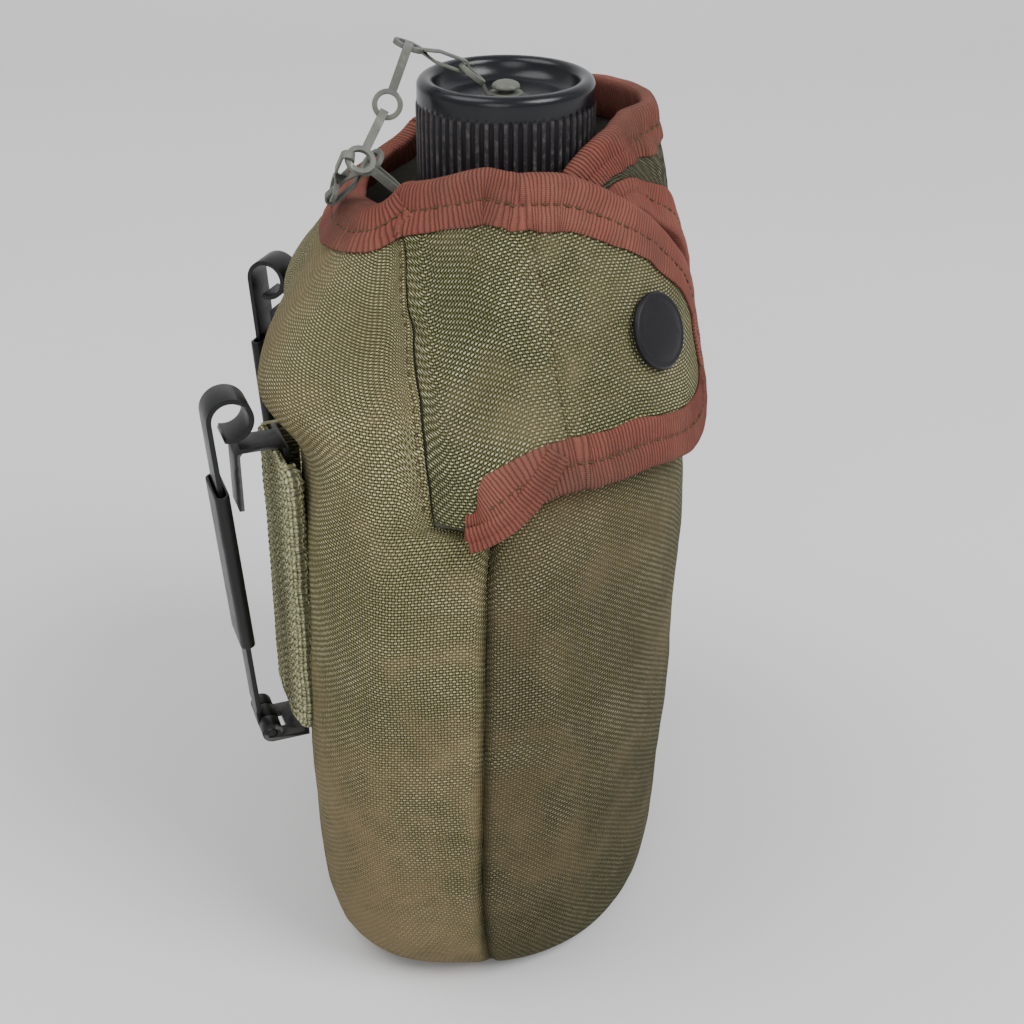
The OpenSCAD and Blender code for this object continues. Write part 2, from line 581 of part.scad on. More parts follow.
module chain_tab() color(grey_green) {
    in_tab() {
        difference() {
            translate([0, 0, tab_z]) cylinder(r = 4, h = tab_t, $fn = 48);
            translate([0, 0, tab_z - 1]) cylinder(r = rivet_r + 0.2, h = 4, $fn = 48);
        }
        strip(3) polygon([[2.6, tab_z], [4.6, tab_z], [6.1, tab_z + 3.2], [5.3, tab_z + 3.7],
            [4.1, tab_z + tab_t], [2.6, tab_z + tab_t]]);
    }
    in_link(0) translate([link_pitch - eye_mid, 0, 0]) eye();
}
module chain_link_1() color(grey_green) in_link(1) link();
module chain_link_2() color(grey_green) in_link(2) link();
module chain_link_3() color(grey_green) in_link(3) link();
module chain_link_4() color(grey_green) in_link(4) link();
module chain_link_5() color(grey_green) in_link(5) link();
module chain_link_6() color(grey_green) in_link(6) link();

// ---- One line for each sub-part ---------------------------------------------------------------
cover_back_panel();
cover_front_panel();
back_felt_lining();
front_felt_lining();
back_edge_tape();
front_edge_tape();
left_webbing_loop();
right_webbing_loop();
left_keeper_back_bar();
right_keeper_back_bar();
left_keeper_outer_bar();
right_keeper_outer_bar();
left_keeper_pin();
right_keeper_pin();
left_keeper_slide();
right_keeper_slide();
snap_studs();
snap_stud_eyelets();
left_flap();
left_flap_lining();
left_flap_tape();
left_snap_cap();
left_snap_socket();
right_flap();
right_flap_lining();
right_flap_tape();
right_snap_cap();
right_snap_socket();
bottle_lower_shell();
bottle_upper_shell();
bottle_neck();
chain_collar();
cap_gasket();
cap_shell();
cap_rivet();
cap_washer();
chain_tab();
chain_link_1();
chain_link_2();
chain_link_3();
chain_link_4();
chain_link_5();
chain_link_6();
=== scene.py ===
"""A canteen in its canvas belt cover: the looks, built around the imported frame."""

import json
import math

import bmesh
import bpy
import numpy as np
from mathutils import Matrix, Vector

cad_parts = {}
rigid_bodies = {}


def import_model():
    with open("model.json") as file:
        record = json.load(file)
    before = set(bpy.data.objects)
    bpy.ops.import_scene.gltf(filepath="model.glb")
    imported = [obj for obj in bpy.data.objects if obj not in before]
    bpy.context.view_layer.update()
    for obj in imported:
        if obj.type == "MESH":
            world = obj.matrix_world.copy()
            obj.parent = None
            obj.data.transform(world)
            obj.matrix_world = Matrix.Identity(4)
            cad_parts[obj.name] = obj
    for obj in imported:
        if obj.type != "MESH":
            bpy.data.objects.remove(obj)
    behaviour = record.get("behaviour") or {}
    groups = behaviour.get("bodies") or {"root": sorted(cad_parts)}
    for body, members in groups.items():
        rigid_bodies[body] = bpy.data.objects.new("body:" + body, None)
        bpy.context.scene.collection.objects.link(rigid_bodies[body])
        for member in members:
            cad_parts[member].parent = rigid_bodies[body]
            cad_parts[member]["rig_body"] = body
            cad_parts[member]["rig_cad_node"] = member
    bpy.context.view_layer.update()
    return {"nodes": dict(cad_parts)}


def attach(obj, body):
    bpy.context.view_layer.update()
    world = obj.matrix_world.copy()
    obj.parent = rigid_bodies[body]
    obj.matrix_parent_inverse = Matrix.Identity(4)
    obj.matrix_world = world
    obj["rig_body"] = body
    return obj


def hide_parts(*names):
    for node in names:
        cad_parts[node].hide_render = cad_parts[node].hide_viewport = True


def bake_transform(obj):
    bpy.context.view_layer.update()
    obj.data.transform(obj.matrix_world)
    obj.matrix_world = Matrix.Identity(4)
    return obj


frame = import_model()
MM = 0.001

# ---- The cover's form, in millimetres ---------------------------------------------------------
# Each row: height, share of the half width, share of the half depth, middle, bend of the ends,
# dent at the back's middle, squareness of the outline
COVER = np.array([
    [0, 0.773, 0.766, 4.5, 8, 4, 2.6],
    [1.5, 0.833, 0.851, 4.5, 8.5, 5, 2.6],
    [5, 0.887, 0.915, 4.5, 9, 6, 2.6],
    [12, 0.933, 0.957, 4.4, 9.5, 7, 2.6],
    [30, 0.98, 0.989, 4.2, 10, 7, 2.6],
    [60, 1, 1, 3.4, 10, 7, 2.6],
    [125, 1, 1, 2, 10, 7, 2.6],
    [135, 0.967, 0.996, 2.3, 9, 6.5, 2.6],
    [148, 0.887, 0.989, 4, 7, 5, 2.6],
    [162, 0.767, 0.979, 6.5, 5, 3.5, 2.6],
    [172, 0.673, 0.936, 6, 3.5, 2, 2.55],
    [180, 0.6, 0.851, 4.5, 2, 1, 2.5],
    [188, 0.533, 0.755, 3, 1, 0, 2.4],
    [198, 0.447, 0.67, 1.5, 0, 0, 2.2],
    [212, 0.373, 0.606, 0.6, 0, 0, 2]])
HALF_WIDTH, HALF_DEPTH = 75.0, 47.0
DENT_HALF_WIDTH = 24.0
SIDE_SEAM = 5.7
SLIT_Z = 135.0
HINGE_FOOT, HINGE_HEAD = 137.0, 198.0
SNAP_W, SNAP_Z = 49.0, 168.0
MM_PER_DEGREE = 1.2
HINGE_LINE = np.array([[137, -3], [149, -5.7], [161, -7.6], [173, -12.9], [185, -24.3], [198, -41]])
LINING_IN = -3.9
FLAP_THICK = 2.4


def ease(low, high, v):
    t = np.clip((v - low) / (high - low), 0, 1)
    return t * t * (3 - 2 * t)


def column(z, k):
    """A station's value at a height, rounded off where the stations meet."""
    reach = np.minimum(5.0, 0.35 * np.abs(z))
    return sum(np.interp(z + reach * t, COVER[:, 0], COVER[:, k]) for t in (-1, -0.5, 0, 0.5, 1)) / 5


def cover(w, z, off=0.0, shrink=1.0):
    """A point of the cover at w degrees from the right side towards the front."""
    w, z = np.broadcast_arrays(np.asarray(w, float), np.asarray(z, float))
    half_w = column(z, 1) * HALF_WIDTH + off
    half_d = column(z, 2) * HALF_DEPTH + off
    sharp = 2 / column(z, 6)
    c, back = np.cos(np.radians(w)), -np.sin(np.radians(w))
    x = half_w * np.sign(c) * np.abs(c) ** sharp * shrink
    dent = column(z, 5) * np.maximum(back, 0) * np.exp(-(x / DENT_HALF_WIDTH) ** 2)
    y = half_d * np.sign(back) * np.abs(back) ** sharp * shrink
    y = y + column(z, 4) * (x / 75) ** 2 - dent * shrink
    return np.stack([x, column(z, 3) + y, z * np.ones_like(x)], -1)


def hinge_w(z):
    return np.interp(z, HINGE_LINE[:, 0], HINGE_LINE[:, 1])


def ripple(w, z, size, seed):
    """Smooth unevenness of cloth over the surface, from about -1 to 1."""
    rng = np.random.default_rng(seed)
    total = 0.0
    for _ in range(8):
        turn, phase = rng.uniform(0, math.tau, 2)
        k = math.tau / (size * rng.uniform(0.7, 1.6))
        total = total + np.sin((w * MM_PER_DEGREE * math.cos(turn) + z * math.sin(turn)) * k + phase)
    return total / 4


def fold(w, z, start, end, height, width):
    """A ridge, or a furrow where height is negative, along a line on the surface."""
    a, b = np.array(start, float) * (MM_PER_DEGREE, 1), np.array(end, float) * (MM_PER_DEGREE, 1)
    p = np.stack([w * MM_PER_DEGREE, z * np.ones_like(w)], -1)
    t = np.clip(((p - a) @ (b - a)) / ((b - a) @ (b - a)), 0, 1)
    far = np.linalg.norm(p - a - t[..., None] * (b - a), axis=-1)
    return height * np.exp(-(far / width) ** 2) * np.sin(math.pi * np.clip(0.15 + 0.7 * t, 0, 1))


# ---- Making meshes --------------------------------------------------------------------------------
def new_piece(name, points, faces, material, body, marks=None, replaces=()):
    """A mesh piece from points in millimetres, with named marks that its material reads."""
    name = name + "_finished"
    mesh = bpy.data.meshes.new(name)
    mesh.from_pydata((np.asarray(points) * MM).tolist(), [], [list(f) for f in faces])
    for mark, values in (marks or {}).items():
        layer = mesh.attributes.new(mark, "FLOAT_VECTOR", "POINT")
        layer.data.foreach_set("vector", np.asarray(values, np.float32).ravel())
    mesh.polygons.foreach_set("use_smooth", [True] * len(mesh.polygons))
    mesh.materials.append(material)
    piece = bpy.data.objects.new(name, mesh)
    bpy.context.scene.collection.objects.link(piece)
    if body:
        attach(piece, body)
    if replaces:
        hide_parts(*replaces)
    return piece


def grid_faces(rows, cols, start=0, flip=False, wrap=False):
    i, j = np.meshgrid(np.arange(rows - 1), np.arange(cols if wrap else cols - 1), indexing="ij")
    n = (j + 1) % cols
    a, b = start + i * cols + j, start + i * cols + n
    c, d = start + (i + 1) * cols + n, start + (i + 1) * cols + j
    quads = np.stack([a, b, c, d], -1).reshape(-1, 4)
    return (quads[:, ::-1] if flip else quads).tolist()


def ring_faces(rows, segments):
    """Faces of a grid that closes both ways: each row is a ring, and the last row meets the first."""
    last = (rows - 1) * segments
    return grid_faces(rows, segments, wrap=True) + [
        (last + j, last + (j + 1) % segments, (j + 1) % segments, j) for j in range(segments)]


def rim_of(rows, cols):
    """The points round a grid's four edges, in order."""
    return ([j for j in range(cols)] + [i * cols + cols - 1 for i in range(1, rows)]
            + [(rows - 1) * cols + j for j in range(cols - 2, -1, -1)]
            + [i * cols for i in range(rows - 2, 0, -1)])


def unit_rows(vectors):
    return vectors / np.linalg.norm(vectors, axis=1, keepdims=True)


def outward(grid):
    """Normals of a grid of points, turned away from the cover's middle."""
    n = np.cross(np.gradient(grid, axis=1), np.gradient(grid, axis=0))
    n /= np.maximum(np.linalg.norm(n, axis=-1, keepdims=True), 1e-9)
    facing = grid - np.array([0, 4, 90])
    return n if (n * facing).sum() > 0 else -n


def lengths_along(grid, axis):
    step = np.linalg.norm(np.diff(grid, axis=axis), axis=-1)
    total = np.cumsum(step, axis=axis)
    pad = [(0, 0), (0, 0)]
    pad[axis] = (1, 0)
    return np.pad(total, pad)


def weave_place(grid):
    """Where each point lies in the cloth's own weave, in millimetres across and along."""
    across = lengths_along(grid, 1)
    along = lengths_along(grid, 0)
    middle = across[:, across.shape[1] // 2][:, None]
    return np.stack([across - middle, along, np.zeros_like(along)], -1)


def cloth_piece(name, grid, thickness, material, body, replaces=()):
    """A sheet of cloth of real thickness, closed along its edges, from its outer face."""
    rows, cols = grid.shape[:2]
    n = rows * cols
    inner = grid - outward(grid) * thickness
    facing = np.cross(np.gradient(grid, axis=1), np.gradient(grid, axis=0))
    out_is_flip = (facing * outward(grid)).sum() < 0
    faces = grid_faces(rows, cols, 0, flip=not out_is_flip)
    faces += grid_faces(rows, cols, n, flip=out_is_flip)
    rim = rim_of(rows, cols)
    for a, b in zip(rim, rim[1:] + rim[:1]):
        faces.append((b, a, n + a, n + b) if out_is_flip else (a, b, n + b, n + a))
    place = weave_place(grid)
    rest = np.concatenate([grid.reshape(-1, 3), inner.reshape(-1, 3)])
    marks = {"weave": np.concatenate([place.reshape(-1, 3)] * 2), "rest": rest}
    return new_piece(name, rest, faces, material, body, marks, replaces)


def mirrored(points):
    return points * np.array([-1.0, 1.0, 1.0])


# ---- Wiring of materials --------------------------------------------------------------------------
class Wiring:
    """Adds nodes to a material or a node group and joins them up."""

    def __init__(self, tree):
        self.tree = tree

    def put(self, socket, value):
        if isinstance(value, bpy.types.NodeSocket):
            self.tree.links.new(value, socket)
        elif value is not None:
            socket.default_value = value

    def node(self, kind, inputs=(), **settings):
        made = self.tree.nodes.new(kind)
        for key, value in settings.items():
            setattr(made, key, value)
        pairs = inputs.items() if isinstance(inputs, dict) else enumerate(inputs)
        for key, value in pairs:
            self.put(made.inputs[key], value)
        return made

    def math(self, operation, *values, clamp=False):
        return self.node("ShaderNodeMath", values, operation=operation, use_clamp=clamp).outputs[0]

    def vector(self, operation, *values):
        return self.node("ShaderNodeVectorMath", values, operation=operation).outputs[0]

    def mix(self, factor, a, b):
        """Between two colours."""
        made = self.node("ShaderNodeMix", data_type="RGBA")
        for socket, value in zip((0, 6, 7), (factor, a, b)):
            self.put(made.inputs[socket], value)
        return made.outputs[2]

    def ramp(self, value, low, high, to_low=0.0, to_high=1.0):
        made = self.node("ShaderNodeMapRange", interpolation_type="SMOOTHSTEP")
        for socket, v in zip(range(5), (value, low, high, to_low, to_high)):
            self.put(made.inputs[socket], v)
        return made.outputs[0]

    def noise(self, vector, scale, detail=3.0, rough=0.55, distortion=0.0):
        made = self.node("ShaderNodeTexNoise", {"Scale": scale, "Detail": detail,
                         "Roughness": rough, "Distortion": distortion, "Vector": vector})
        return made.outputs["Fac"]

    def mark(self, name):
        return self.node("ShaderNodeAttribute", attribute_name=name).outputs["Vector"]

    def group(self, tree, **inputs):
        made = self.node("ShaderNodeGroup", node_tree=tree)
        for key, value in inputs.items():
            self.put(made.inputs[key.replace("_", " ")], value)
        return made.outputs


def new_group(name, inputs, outputs):
    """An empty node group with named sockets: {name: (kind, start value)} in, names out."""
    tree = bpy.data.node_groups.new(name, "ShaderNodeTree")
    for key, (kind, start) in inputs.items():
        socket = tree.interface.new_socket(key, in_out="INPUT", socket_type="NodeSocket" + kind)
        if start is not None:
            socket.default_value = start
    for key in outputs:
        tree.interface.new_socket(key, in_out="OUTPUT", socket_type="NodeSocketFloat")
    wires = Wiring(tree)
    return wires, wires.node("NodeGroupInput").outputs, wires.node("NodeGroupOutput").inputs


def plain_weave_group():
    """Threads that pass over and under each other. Weft is high where a cross thread is on top."""
    wires, given, made = new_group("plain_weave", {"Place": ("Vector", None), "Pitch": ("Float", 1.2),
                                   "Wander": ("Float", 0.25)}, ["Height", "Weft", "Thread"])
    sway = wires.node("ShaderNodeTexNoise", {"Vector": given["Place"], "Scale": 0.35, "Detail": 2.0})
    swayed = wires.vector("SUBTRACT", sway.outputs["Color"], (0.5, 0.5, 0.5))
    scaled = wires.node("ShaderNodeVectorMath", operation="SCALE")
    wires.put(scaled.inputs[0], swayed)
    wires.put(scaled.inputs["Scale"], given["Wander"])
    place = wires.vector("ADD", given["Place"], scaled.outputs[0])
    xyz = wires.node("ShaderNodeSeparateXYZ", [place]).outputs
    u = wires.math("DIVIDE", xyz["X"], given["Pitch"])
    v = wires.math("DIVIDE", xyz["Y"], given["Pitch"])
    pi = math.pi
    across = wires.math("ABSOLUTE", wires.math("SINE", wires.math("MULTIPLY", u, pi)))
    along = wires.math("ABSOLUTE", wires.math("SINE", wires.math("MULTIPLY", v, pi)))
    column_turn = wires.math("MULTIPLY", wires.math("FLOOR", u), pi)
    row_turn = wires.math("MULTIPLY", wires.math("ADD", wires.math("FLOOR", v), 1.0), pi)
    warp_rise = wires.math("COSINE", wires.math("ADD", wires.math("MULTIPLY", v, pi),
                                                wires.math("ADD", column_turn, pi / 2)))
    weft_rise = wires.math("COSINE", wires.math("ADD", wires.math("MULTIPLY", u, pi),
                                                wires.math("ADD", row_turn, pi / 2)))
    warp = wires.math("MULTIPLY", across, wires.math("MULTIPLY_ADD", warp_rise, 0.5, 0.5))
    weft = wires.math("MULTIPLY", along, wires.math("MULTIPLY_ADD", weft_rise, 0.5, 0.5))
    wires.put(made["Height"], wires.math("MAXIMUM", warp, weft))
    wires.put(made["Weft"], wires.ramp(wires.math("SUBTRACT", weft, warp), 0.12, 0.8))
    cell = wires.node("ShaderNodeCombineXYZ", [wires.math("FLOOR", u), wires.math("FLOOR", v)])
    thread = wires.node("ShaderNodeTexWhiteNoise", [cell.outputs[0]], noise_dimensions="3D")
    wires.put(made["Thread"], thread.outputs["Value"])
    return wires.tree


def soiling_group():
    """Large soft patches of brown soil and of fading. Soil grows towards the foot. Level goes from 0.5 at
    the foot to 1 higher up, and makes cloth darker towards the foot by height alone.
    """
    wires, given, made = new_group("soiling", {"Rest": ("Vector", None), "Foot": ("Float", 0.5)},
                                   ["Soil", "Fade", "Level"])
    height = wires.node("ShaderNodeSeparateXYZ", [given["Rest"]]).outputs["Z"]
    low = wires.math("MULTIPLY", wires.ramp(height, 150.0, 10.0), given["Foot"])
    patches = wires.noise(given["Rest"], 0.022, 4.0, 0.6, 0.4)
    fine = wires.noise(given["Rest"], 0.13, 4.0, 0.65)
    mixed = wires.math("MULTIPLY_ADD", fine, 0.35, patches)
    wires.put(made["Soil"], wires.ramp(wires.math("MULTIPLY_ADD", low, 0.2, mixed), 0.62, 0.95))
    faded = wires.noise(wires.vector("ADD", given["Rest"], (71.0, 13.0, 37.0)), 0.05, 4.0, 0.6)
    wires.put(made["Fade"], wires.ramp(faded, 0.38, 0.72))
    # Level: darker towards the foot, a plain ramp on height.
    wires.put(made["Level"], wires.ramp(height, 5.0, 140.0, 0.5, 1.0))
    return wires.tree


def cross_rib_group():
    """Fine ribs across a tape or webbing. Place runs along the tape in X."""
    wires, given, made = new_group("cross_ribs", {"Place": ("Vector", None), "Pitch": ("Float", 1.1)},
                                   ["Height", "Thread"])
    xyz = wires.node("ShaderNodeSeparateXYZ", [given["Place"]]).outputs
    sway = wires.math("MULTIPLY_ADD", wires.noise(given["Place"], 0.5, 2.0), 0.4, xyz["X"])
    u = wires.math("DIVIDE", sway, given["Pitch"])
    rib = wires.math("ABSOLUTE", wires.math("SINE", wires.math("MULTIPLY", u, math.pi)))
    tiny = wires.math("SINE", wires.math("MULTIPLY", xyz["Y"], 15.0))
    wires.put(made["Height"], wires.math("MULTIPLY_ADD", tiny, 0.08, wires.math("POWER", rib, 0.6)))
    thread = wires.node("ShaderNodeTexWhiteNoise", noise_dimensions="1D")
    wires.put(thread.inputs["W"], wires.math("FLOOR", u))
    wires.put(made["Thread"], thread.outputs["Value"])
    return wires.tree


def edge_wear_group():
    """Wear on proud edges, broken up by noise, and a film of scratches and dust."""
    wires, given, made = new_group("edge_wear", {"Place": ("Vector", None), "Start": ("Float", 0.52),
                                   "Spread": ("Float", 0.06), "Size": ("Float", 600.0)},
                                   ["Worn", "Dust", "Grain"])
    proud = wires.node("ShaderNodeNewGeometry").outputs["Pointiness"]
    broken = wires.noise(given["Place"], given["Size"], 5.0, 0.65)
    level = wires.math("MULTIPLY_ADD", wires.math("SUBTRACT", broken, 0.5), 0.12, proud)
    wires.put(made["Worn"], wires.ramp(level, given["Start"],
                                       wires.math("ADD", given["Start"], given["Spread"])))
    dust = wires.noise(given["Place"], 140.0, 5.0, 0.7, 0.6)
    wires.put(made["Dust"], wires.ramp(dust, 0.45, 0.75))
    wires.put(made["Grain"], wires.noise(given["Place"], 2400.0, 3.0, 0.6))
    return wires.tree


PLAIN_WEAVE = plain_weave_group()
SOILING = soiling_group()
CROSS_RIBS = cross_rib_group()
EDGE_WEAR = edge_wear_group()


def new_material(name, roughness, **fixed):
    """A material with one shader. Values that are the same all over are set on its sockets."""
    material = bpy.data.materials.new(name)
    material.use_nodes = True
    wires = Wiring(material.node_tree)
    shader = material.node_tree.nodes["Principled BSDF"]
    shader.inputs["Roughness"].default_value = roughness
    for key, value in fixed.items():
        shader.inputs[key.replace("_", " ")].default_value = value
    return material, wires, shader


def bump(wires, shader, height, distance, strength=1.0):
    made = wires.node("ShaderNodeBump", {"Height": height, "Distance": distance,
                      "Strength": strength})
    wires.put(shader.inputs["Normal"], made.outputs[0])


def duck(name, gap, thread, rubbed_top_and_highlight, soil, foot):
    """Worn cotton duck: olive threads, dark gaps between them that are painted shade, and pale tops where
    the cross threads rise, partly rubbed pale and partly a painted highlight.
    """
    material, wires, shader = new_material(name, 0.92, Specular_IOR_Level=0.15)
    weave = wires.group(PLAIN_WEAVE, Place=wires.mark("weave"), Pitch=0.73, Wander=0.4)
    dirt = wires.group(SOILING, Rest=wires.mark("rest"), Foot=foot)
    fuzz = wires.noise(wires.mark("weave"), 3.5, 3.0, 0.7)
    # The gap colour in the hollows between threads is painted shade.
    base = wires.mix(wires.ramp(weave["Height"], 0.35, 0.8), gap, thread)
    # lit: the pale tops of the cross threads, partly rubbed pale and partly a painted highlight.
    lit = wires.math("MULTIPLY", weave["Weft"], wires.ramp(weave["Thread"], -0.6, 1.0, 0.25, 1.0))
    lit = wires.math("MULTIPLY", lit, wires.math("MULTIPLY_ADD", dirt["Fade"], 0.55, 0.5))
    # Level mixes the cloth towards the gap colour, so the cloth is darker towards the foot.
    cloth = wires.mix(dirt["Level"], gap, wires.mix(lit, base, rubbed_top_and_highlight))
    soiled = wires.mix(wires.math("MULTIPLY", dirt["Soil"], 0.6), cloth, soil)
    shaded = wires.mix(wires.ramp(fuzz, 0.25, 0.75, 0.3, 0.0), soiled, gap)
    wires.put(shader.inputs["Base Color"], shaded)
    height = wires.math("MULTIPLY_ADD", fuzz, 0.35, weave["Height"])
    bump(wires, shader, height, 0.0006, 0.9)
    return material


def felt_cloth():
    material, wires, shader = new_material("grey_green_felt", 1.0, Sheen_Weight=0.5)
    place = wires.mark("rest")
    hair = wires.noise(place, 2.2, 6.0, 0.75, 1.5)
    clump = wires.noise(place, 0.25, 3.0, 0.6)
    shade = wires.mix(hair, (0.09, 0.095, 0.065, 1), (0.24, 0.24, 0.17, 1))
    wires.put(shader.inputs["Base Color"], wires.mix(wires.ramp(clump, 0.4, 0.7, 0.0, 0.4),
                                                     shade, (0.13, 0.13, 0.09, 1)))
    bump(wires, shader, hair, 0.0006, 0.8)
    return material


def ribbed_tape():
    """Rust-red binding with fine cross ribs, darker in the grooves between them as painted shade, rubbed
    pale in places and grimy in others.
    """
    material, wires, shader = new_material("rust_binding", 0.85, Specular_IOR_Level=0.15)
    place = wires.mark("weave")
    ribs = wires.group(CROSS_RIBS, Place=place, Pitch=0.9)
    dirt = wires.group(SOILING, Rest=wires.mark("rest"), Foot=0.0)
    # Darker between the ribs and lighter on their tops: painted shade in the grooves.
    rib = wires.mix(ribs["Height"], (0.095, 0.027, 0.02, 1), (0.225, 0.073, 0.055, 1))
    rib = wires.mix(wires.math("MULTIPLY", ribs["Thread"], 0.3), rib, (0.14, 0.042, 0.03, 1))
    rubbed = wires.mix(wires.math("MULTIPLY", dirt["Fade"], 0.4), rib, (0.29, 0.125, 0.09, 1))
    grime = wires.math("MULTIPLY", dirt["Soil"], 0.75)
    wires.put(shader.inputs["Base Color"], wires.mix(grime, rubbed, (0.1, 0.055, 0.04, 1)))
    bump(wires, shader, ribs["Height"], 0.0005, 0.8)
    return material


def sewing_thread():
    material, wires, shader = new_material("khaki_thread", 0.85, Specular_IOR_Level=0.2)
    place = wires.mark("rest")
    ply = wires.noise(place, 2.5, 2.0)
    wires.put(shader.inputs["Base Color"], wires.mix(ply, (0.035, 0.025, 0.012, 1),
                                                     (0.13, 0.095, 0.05, 1)))
    bump(wires, shader, ply, 0.0002)
    return material


def olive_webbing():
    material, wires, shader = new_material("olive_webbing", 0.95, Specular_IOR_Level=0.1)
    place = wires.mark("weave")
    weave = wires.group(PLAIN_WEAVE, Place=place, Pitch=0.95, Wander=0.7)
    dirt = wires.group(SOILING, Rest=wires.mark("rest"), Foot=0.3)
    fuzz = wires.noise(place, 1.6, 5.0, 0.75, 1.0)
    # Dark between the threads is painted shade.
    base = wires.mix(wires.ramp(weave["Height"], 0.2, 0.8), (0.09, 0.09, 0.04, 1),
                     (0.42, 0.41, 0.23, 1))
    # The pale tops of the cross threads: partly rubbed pale and partly a painted highlight.
    pale = wires.mix(wires.math("MULTIPLY", weave["Weft"], 0.6), base, (0.68, 0.68, 0.44, 1))
    worn = wires.mix(wires.ramp(fuzz, 0.45, 0.75, 0.0, 0.6), pale, (0.8, 0.82, 0.56, 1))
    wires.put(shader.inputs["Base Color"], wires.mix(wires.math("MULTIPLY", dirt["Soil"], 0.5), worn,
                                                     (0.13, 0.1, 0.05, 1)))
    bump(wires, shader, wires.math("MULTIPLY_ADD", fuzz, 0.6, weave["Height"]), 0.0007)
    return material


def place_on_body(wires):
    return wires.node("ShaderNodeTexCoord").outputs["Object"]


def worn_metal(name, paint, bare, rough, rough_bare, start, spread, dust, metallic=0.0, size=600.0):
    """Painted or plated metal, bare on its proud edges."""
    material, wires, shader = new_material(name, rough, Specular_IOR_Level=0.32)
    place = place_on_body(wires)
    wear = wires.group(EDGE_WEAR, Place=place, Start=start, Spread=spread, Size=size)
    tone = wires.noise(place, 90.0, 5.0, 0.6)
    painted = wires.mix(wires.ramp(tone, 0.35, 0.7, 0.0, 0.5), paint, dust)
    dusted = wires.mix(wires.math("MULTIPLY", wear["Dust"], 0.25), painted, dust)
    wires.put(shader.inputs["Base Color"], wires.mix(wear["Worn"], dusted, bare))
    if metallic:
        wires.put(shader.inputs["Metallic"], wires.ramp(wear["Worn"], 0.2, 1.0, metallic, 1.0))
    lift = wires.math("MULTIPLY_ADD", wear["Dust"], 0.15, rough)
    span = wires.math("MULTIPLY", wear["Worn"], rough_bare - rough)
    wires.put(shader.inputs["Roughness"], wires.math("ADD", lift, span, clamp=True))
    bump(wires, shader, wires.math("ADD", wear["Grain"], wear["Dust"]), 0.00006, 0.6)
    return material


def moulded_cap():
    """Glossy near-black moulding, lighter on its rib crests and darker in the grooves as painted shade,
    and scuffed grey-brown along the tops of its ribs.
    """
    material, wires, shader = new_material("black_moulding", 0.3, Specular_IOR_Level=0.38)
    place = place_on_body(wires)
    crest = wires.node("ShaderNodeSeparateXYZ", [wires.mark("crest")]).outputs
    scuff = wires.noise(place, 420.0, 5.0, 0.75, 0.5)
    speck = wires.noise(place, 1600.0, 3.0, 0.7)
    rub = wires.math("MULTIPLY", wires.ramp(crest["X"], 0.6, 1.0), wires.ramp(scuff, 0.42, 0.7))
    chip = wires.math("MULTIPLY", rub, wires.ramp(speck, 0.35, 0.65, 0.4, 1.0))
    # Rib crests lighter than the grooves between them: painted shade.
    dark = wires.mix(wires.ramp(crest["X"], 0.0, 0.9), (0.006, 0.006, 0.008, 1),
                     (0.022, 0.02, 0.023, 1))
    worn = wires.mix(wires.math("MULTIPLY", chip, 0.75), dark, (0.16, 0.135, 0.13, 1))
    smooth = wires.mix(crest["Y"], worn, (0.006, 0.0065, 0.009, 1))
    wires.put(shader.inputs["Base Color"], smooth)
    rough = wires.ramp(crest["Y"], 0.0, 1.0, 0.5, 0.2)
    wires.put(shader.inputs["Roughness"], wires.math("MULTIPLY_ADD", chip, 0.25,
              wires.math("MULTIPLY_ADD", speck, 0.08, rough)))
    bump(wires, shader, wires.math("ADD", speck, chip), 0.00008, 0.35)
    return material


def brushed_sheet():
    material, wires, shader = new_material("brushed_sheet", 0.35, Metallic=1.0)
    place = place_on_body(wires)
    stretched = wires.vector("MULTIPLY", place, (60.0, 60.0, 2500.0))
    brush = wires.noise(stretched, 1.0, 4.0, 0.6)
    stain = wires.noise(place, 45.0, 4.0, 0.6)
    wires.put(shader.inputs["Base Color"], wires.mix(stain, (0.62, 0.62, 0.6, 1), (0.42, 0.42, 0.4, 1)))
    wires.put(shader.inputs["Roughness"], wires.ramp(brush, 0.3, 0.7, 0.28, 0.5))
    bump(wires, shader, brush, 0.00004, 0.4)
    return material


def brown_rubber():
    material, wires, shader = new_material("brown_rubber", 0.75)
    grain = wires.noise(place_on_body(wires), 900.0, 4.0, 0.6)
    wires.put(shader.inputs["Base Color"], wires.mix(grain, (0.05, 0.03, 0.02, 1), (0.1, 0.065, 0.045, 1)))
    bump(wires, shader, grain, 0.0001, 0.5)
    return material


# One duck cloth in four brightnesses: the copies for the front panel and for the far flap are darker
# throughout, which is painted shade.
BACK_DUCK = duck("back_duck", (0.038, 0.036, 0.014, 1), (0.28, 0.252, 0.116, 1),
                 (0.86, 0.8, 0.49, 1), (0.35, 0.255, 0.14, 1), 0.7)
FRONT_DUCK_SHADED = duck("front_duck_painted_shade", (0.026, 0.024, 0.01, 1), (0.155, 0.14, 0.065, 1),
                  (0.52, 0.48, 0.31, 1), (0.2, 0.15, 0.08, 1), 0.4)
NEAR_DUCK = duck("near_flap_duck", (0.022, 0.024, 0.009, 1), (0.155, 0.155, 0.065, 1),
                 (0.78, 0.77, 0.48, 1), (0.27, 0.22, 0.12, 1), 0.2)
FAR_FLAP_DUCK_SHADED = duck("far_flap_duck", (0.026, 0.027, 0.016, 1), (0.12, 0.12, 0.075, 1),
                (0.38, 0.37, 0.26, 1), (0.15, 0.13, 0.08, 1), 0.2)
FELT = felt_cloth()
TAPE = ribbed_tape()
THREAD = sewing_thread()
WEBBING = olive_webbing()
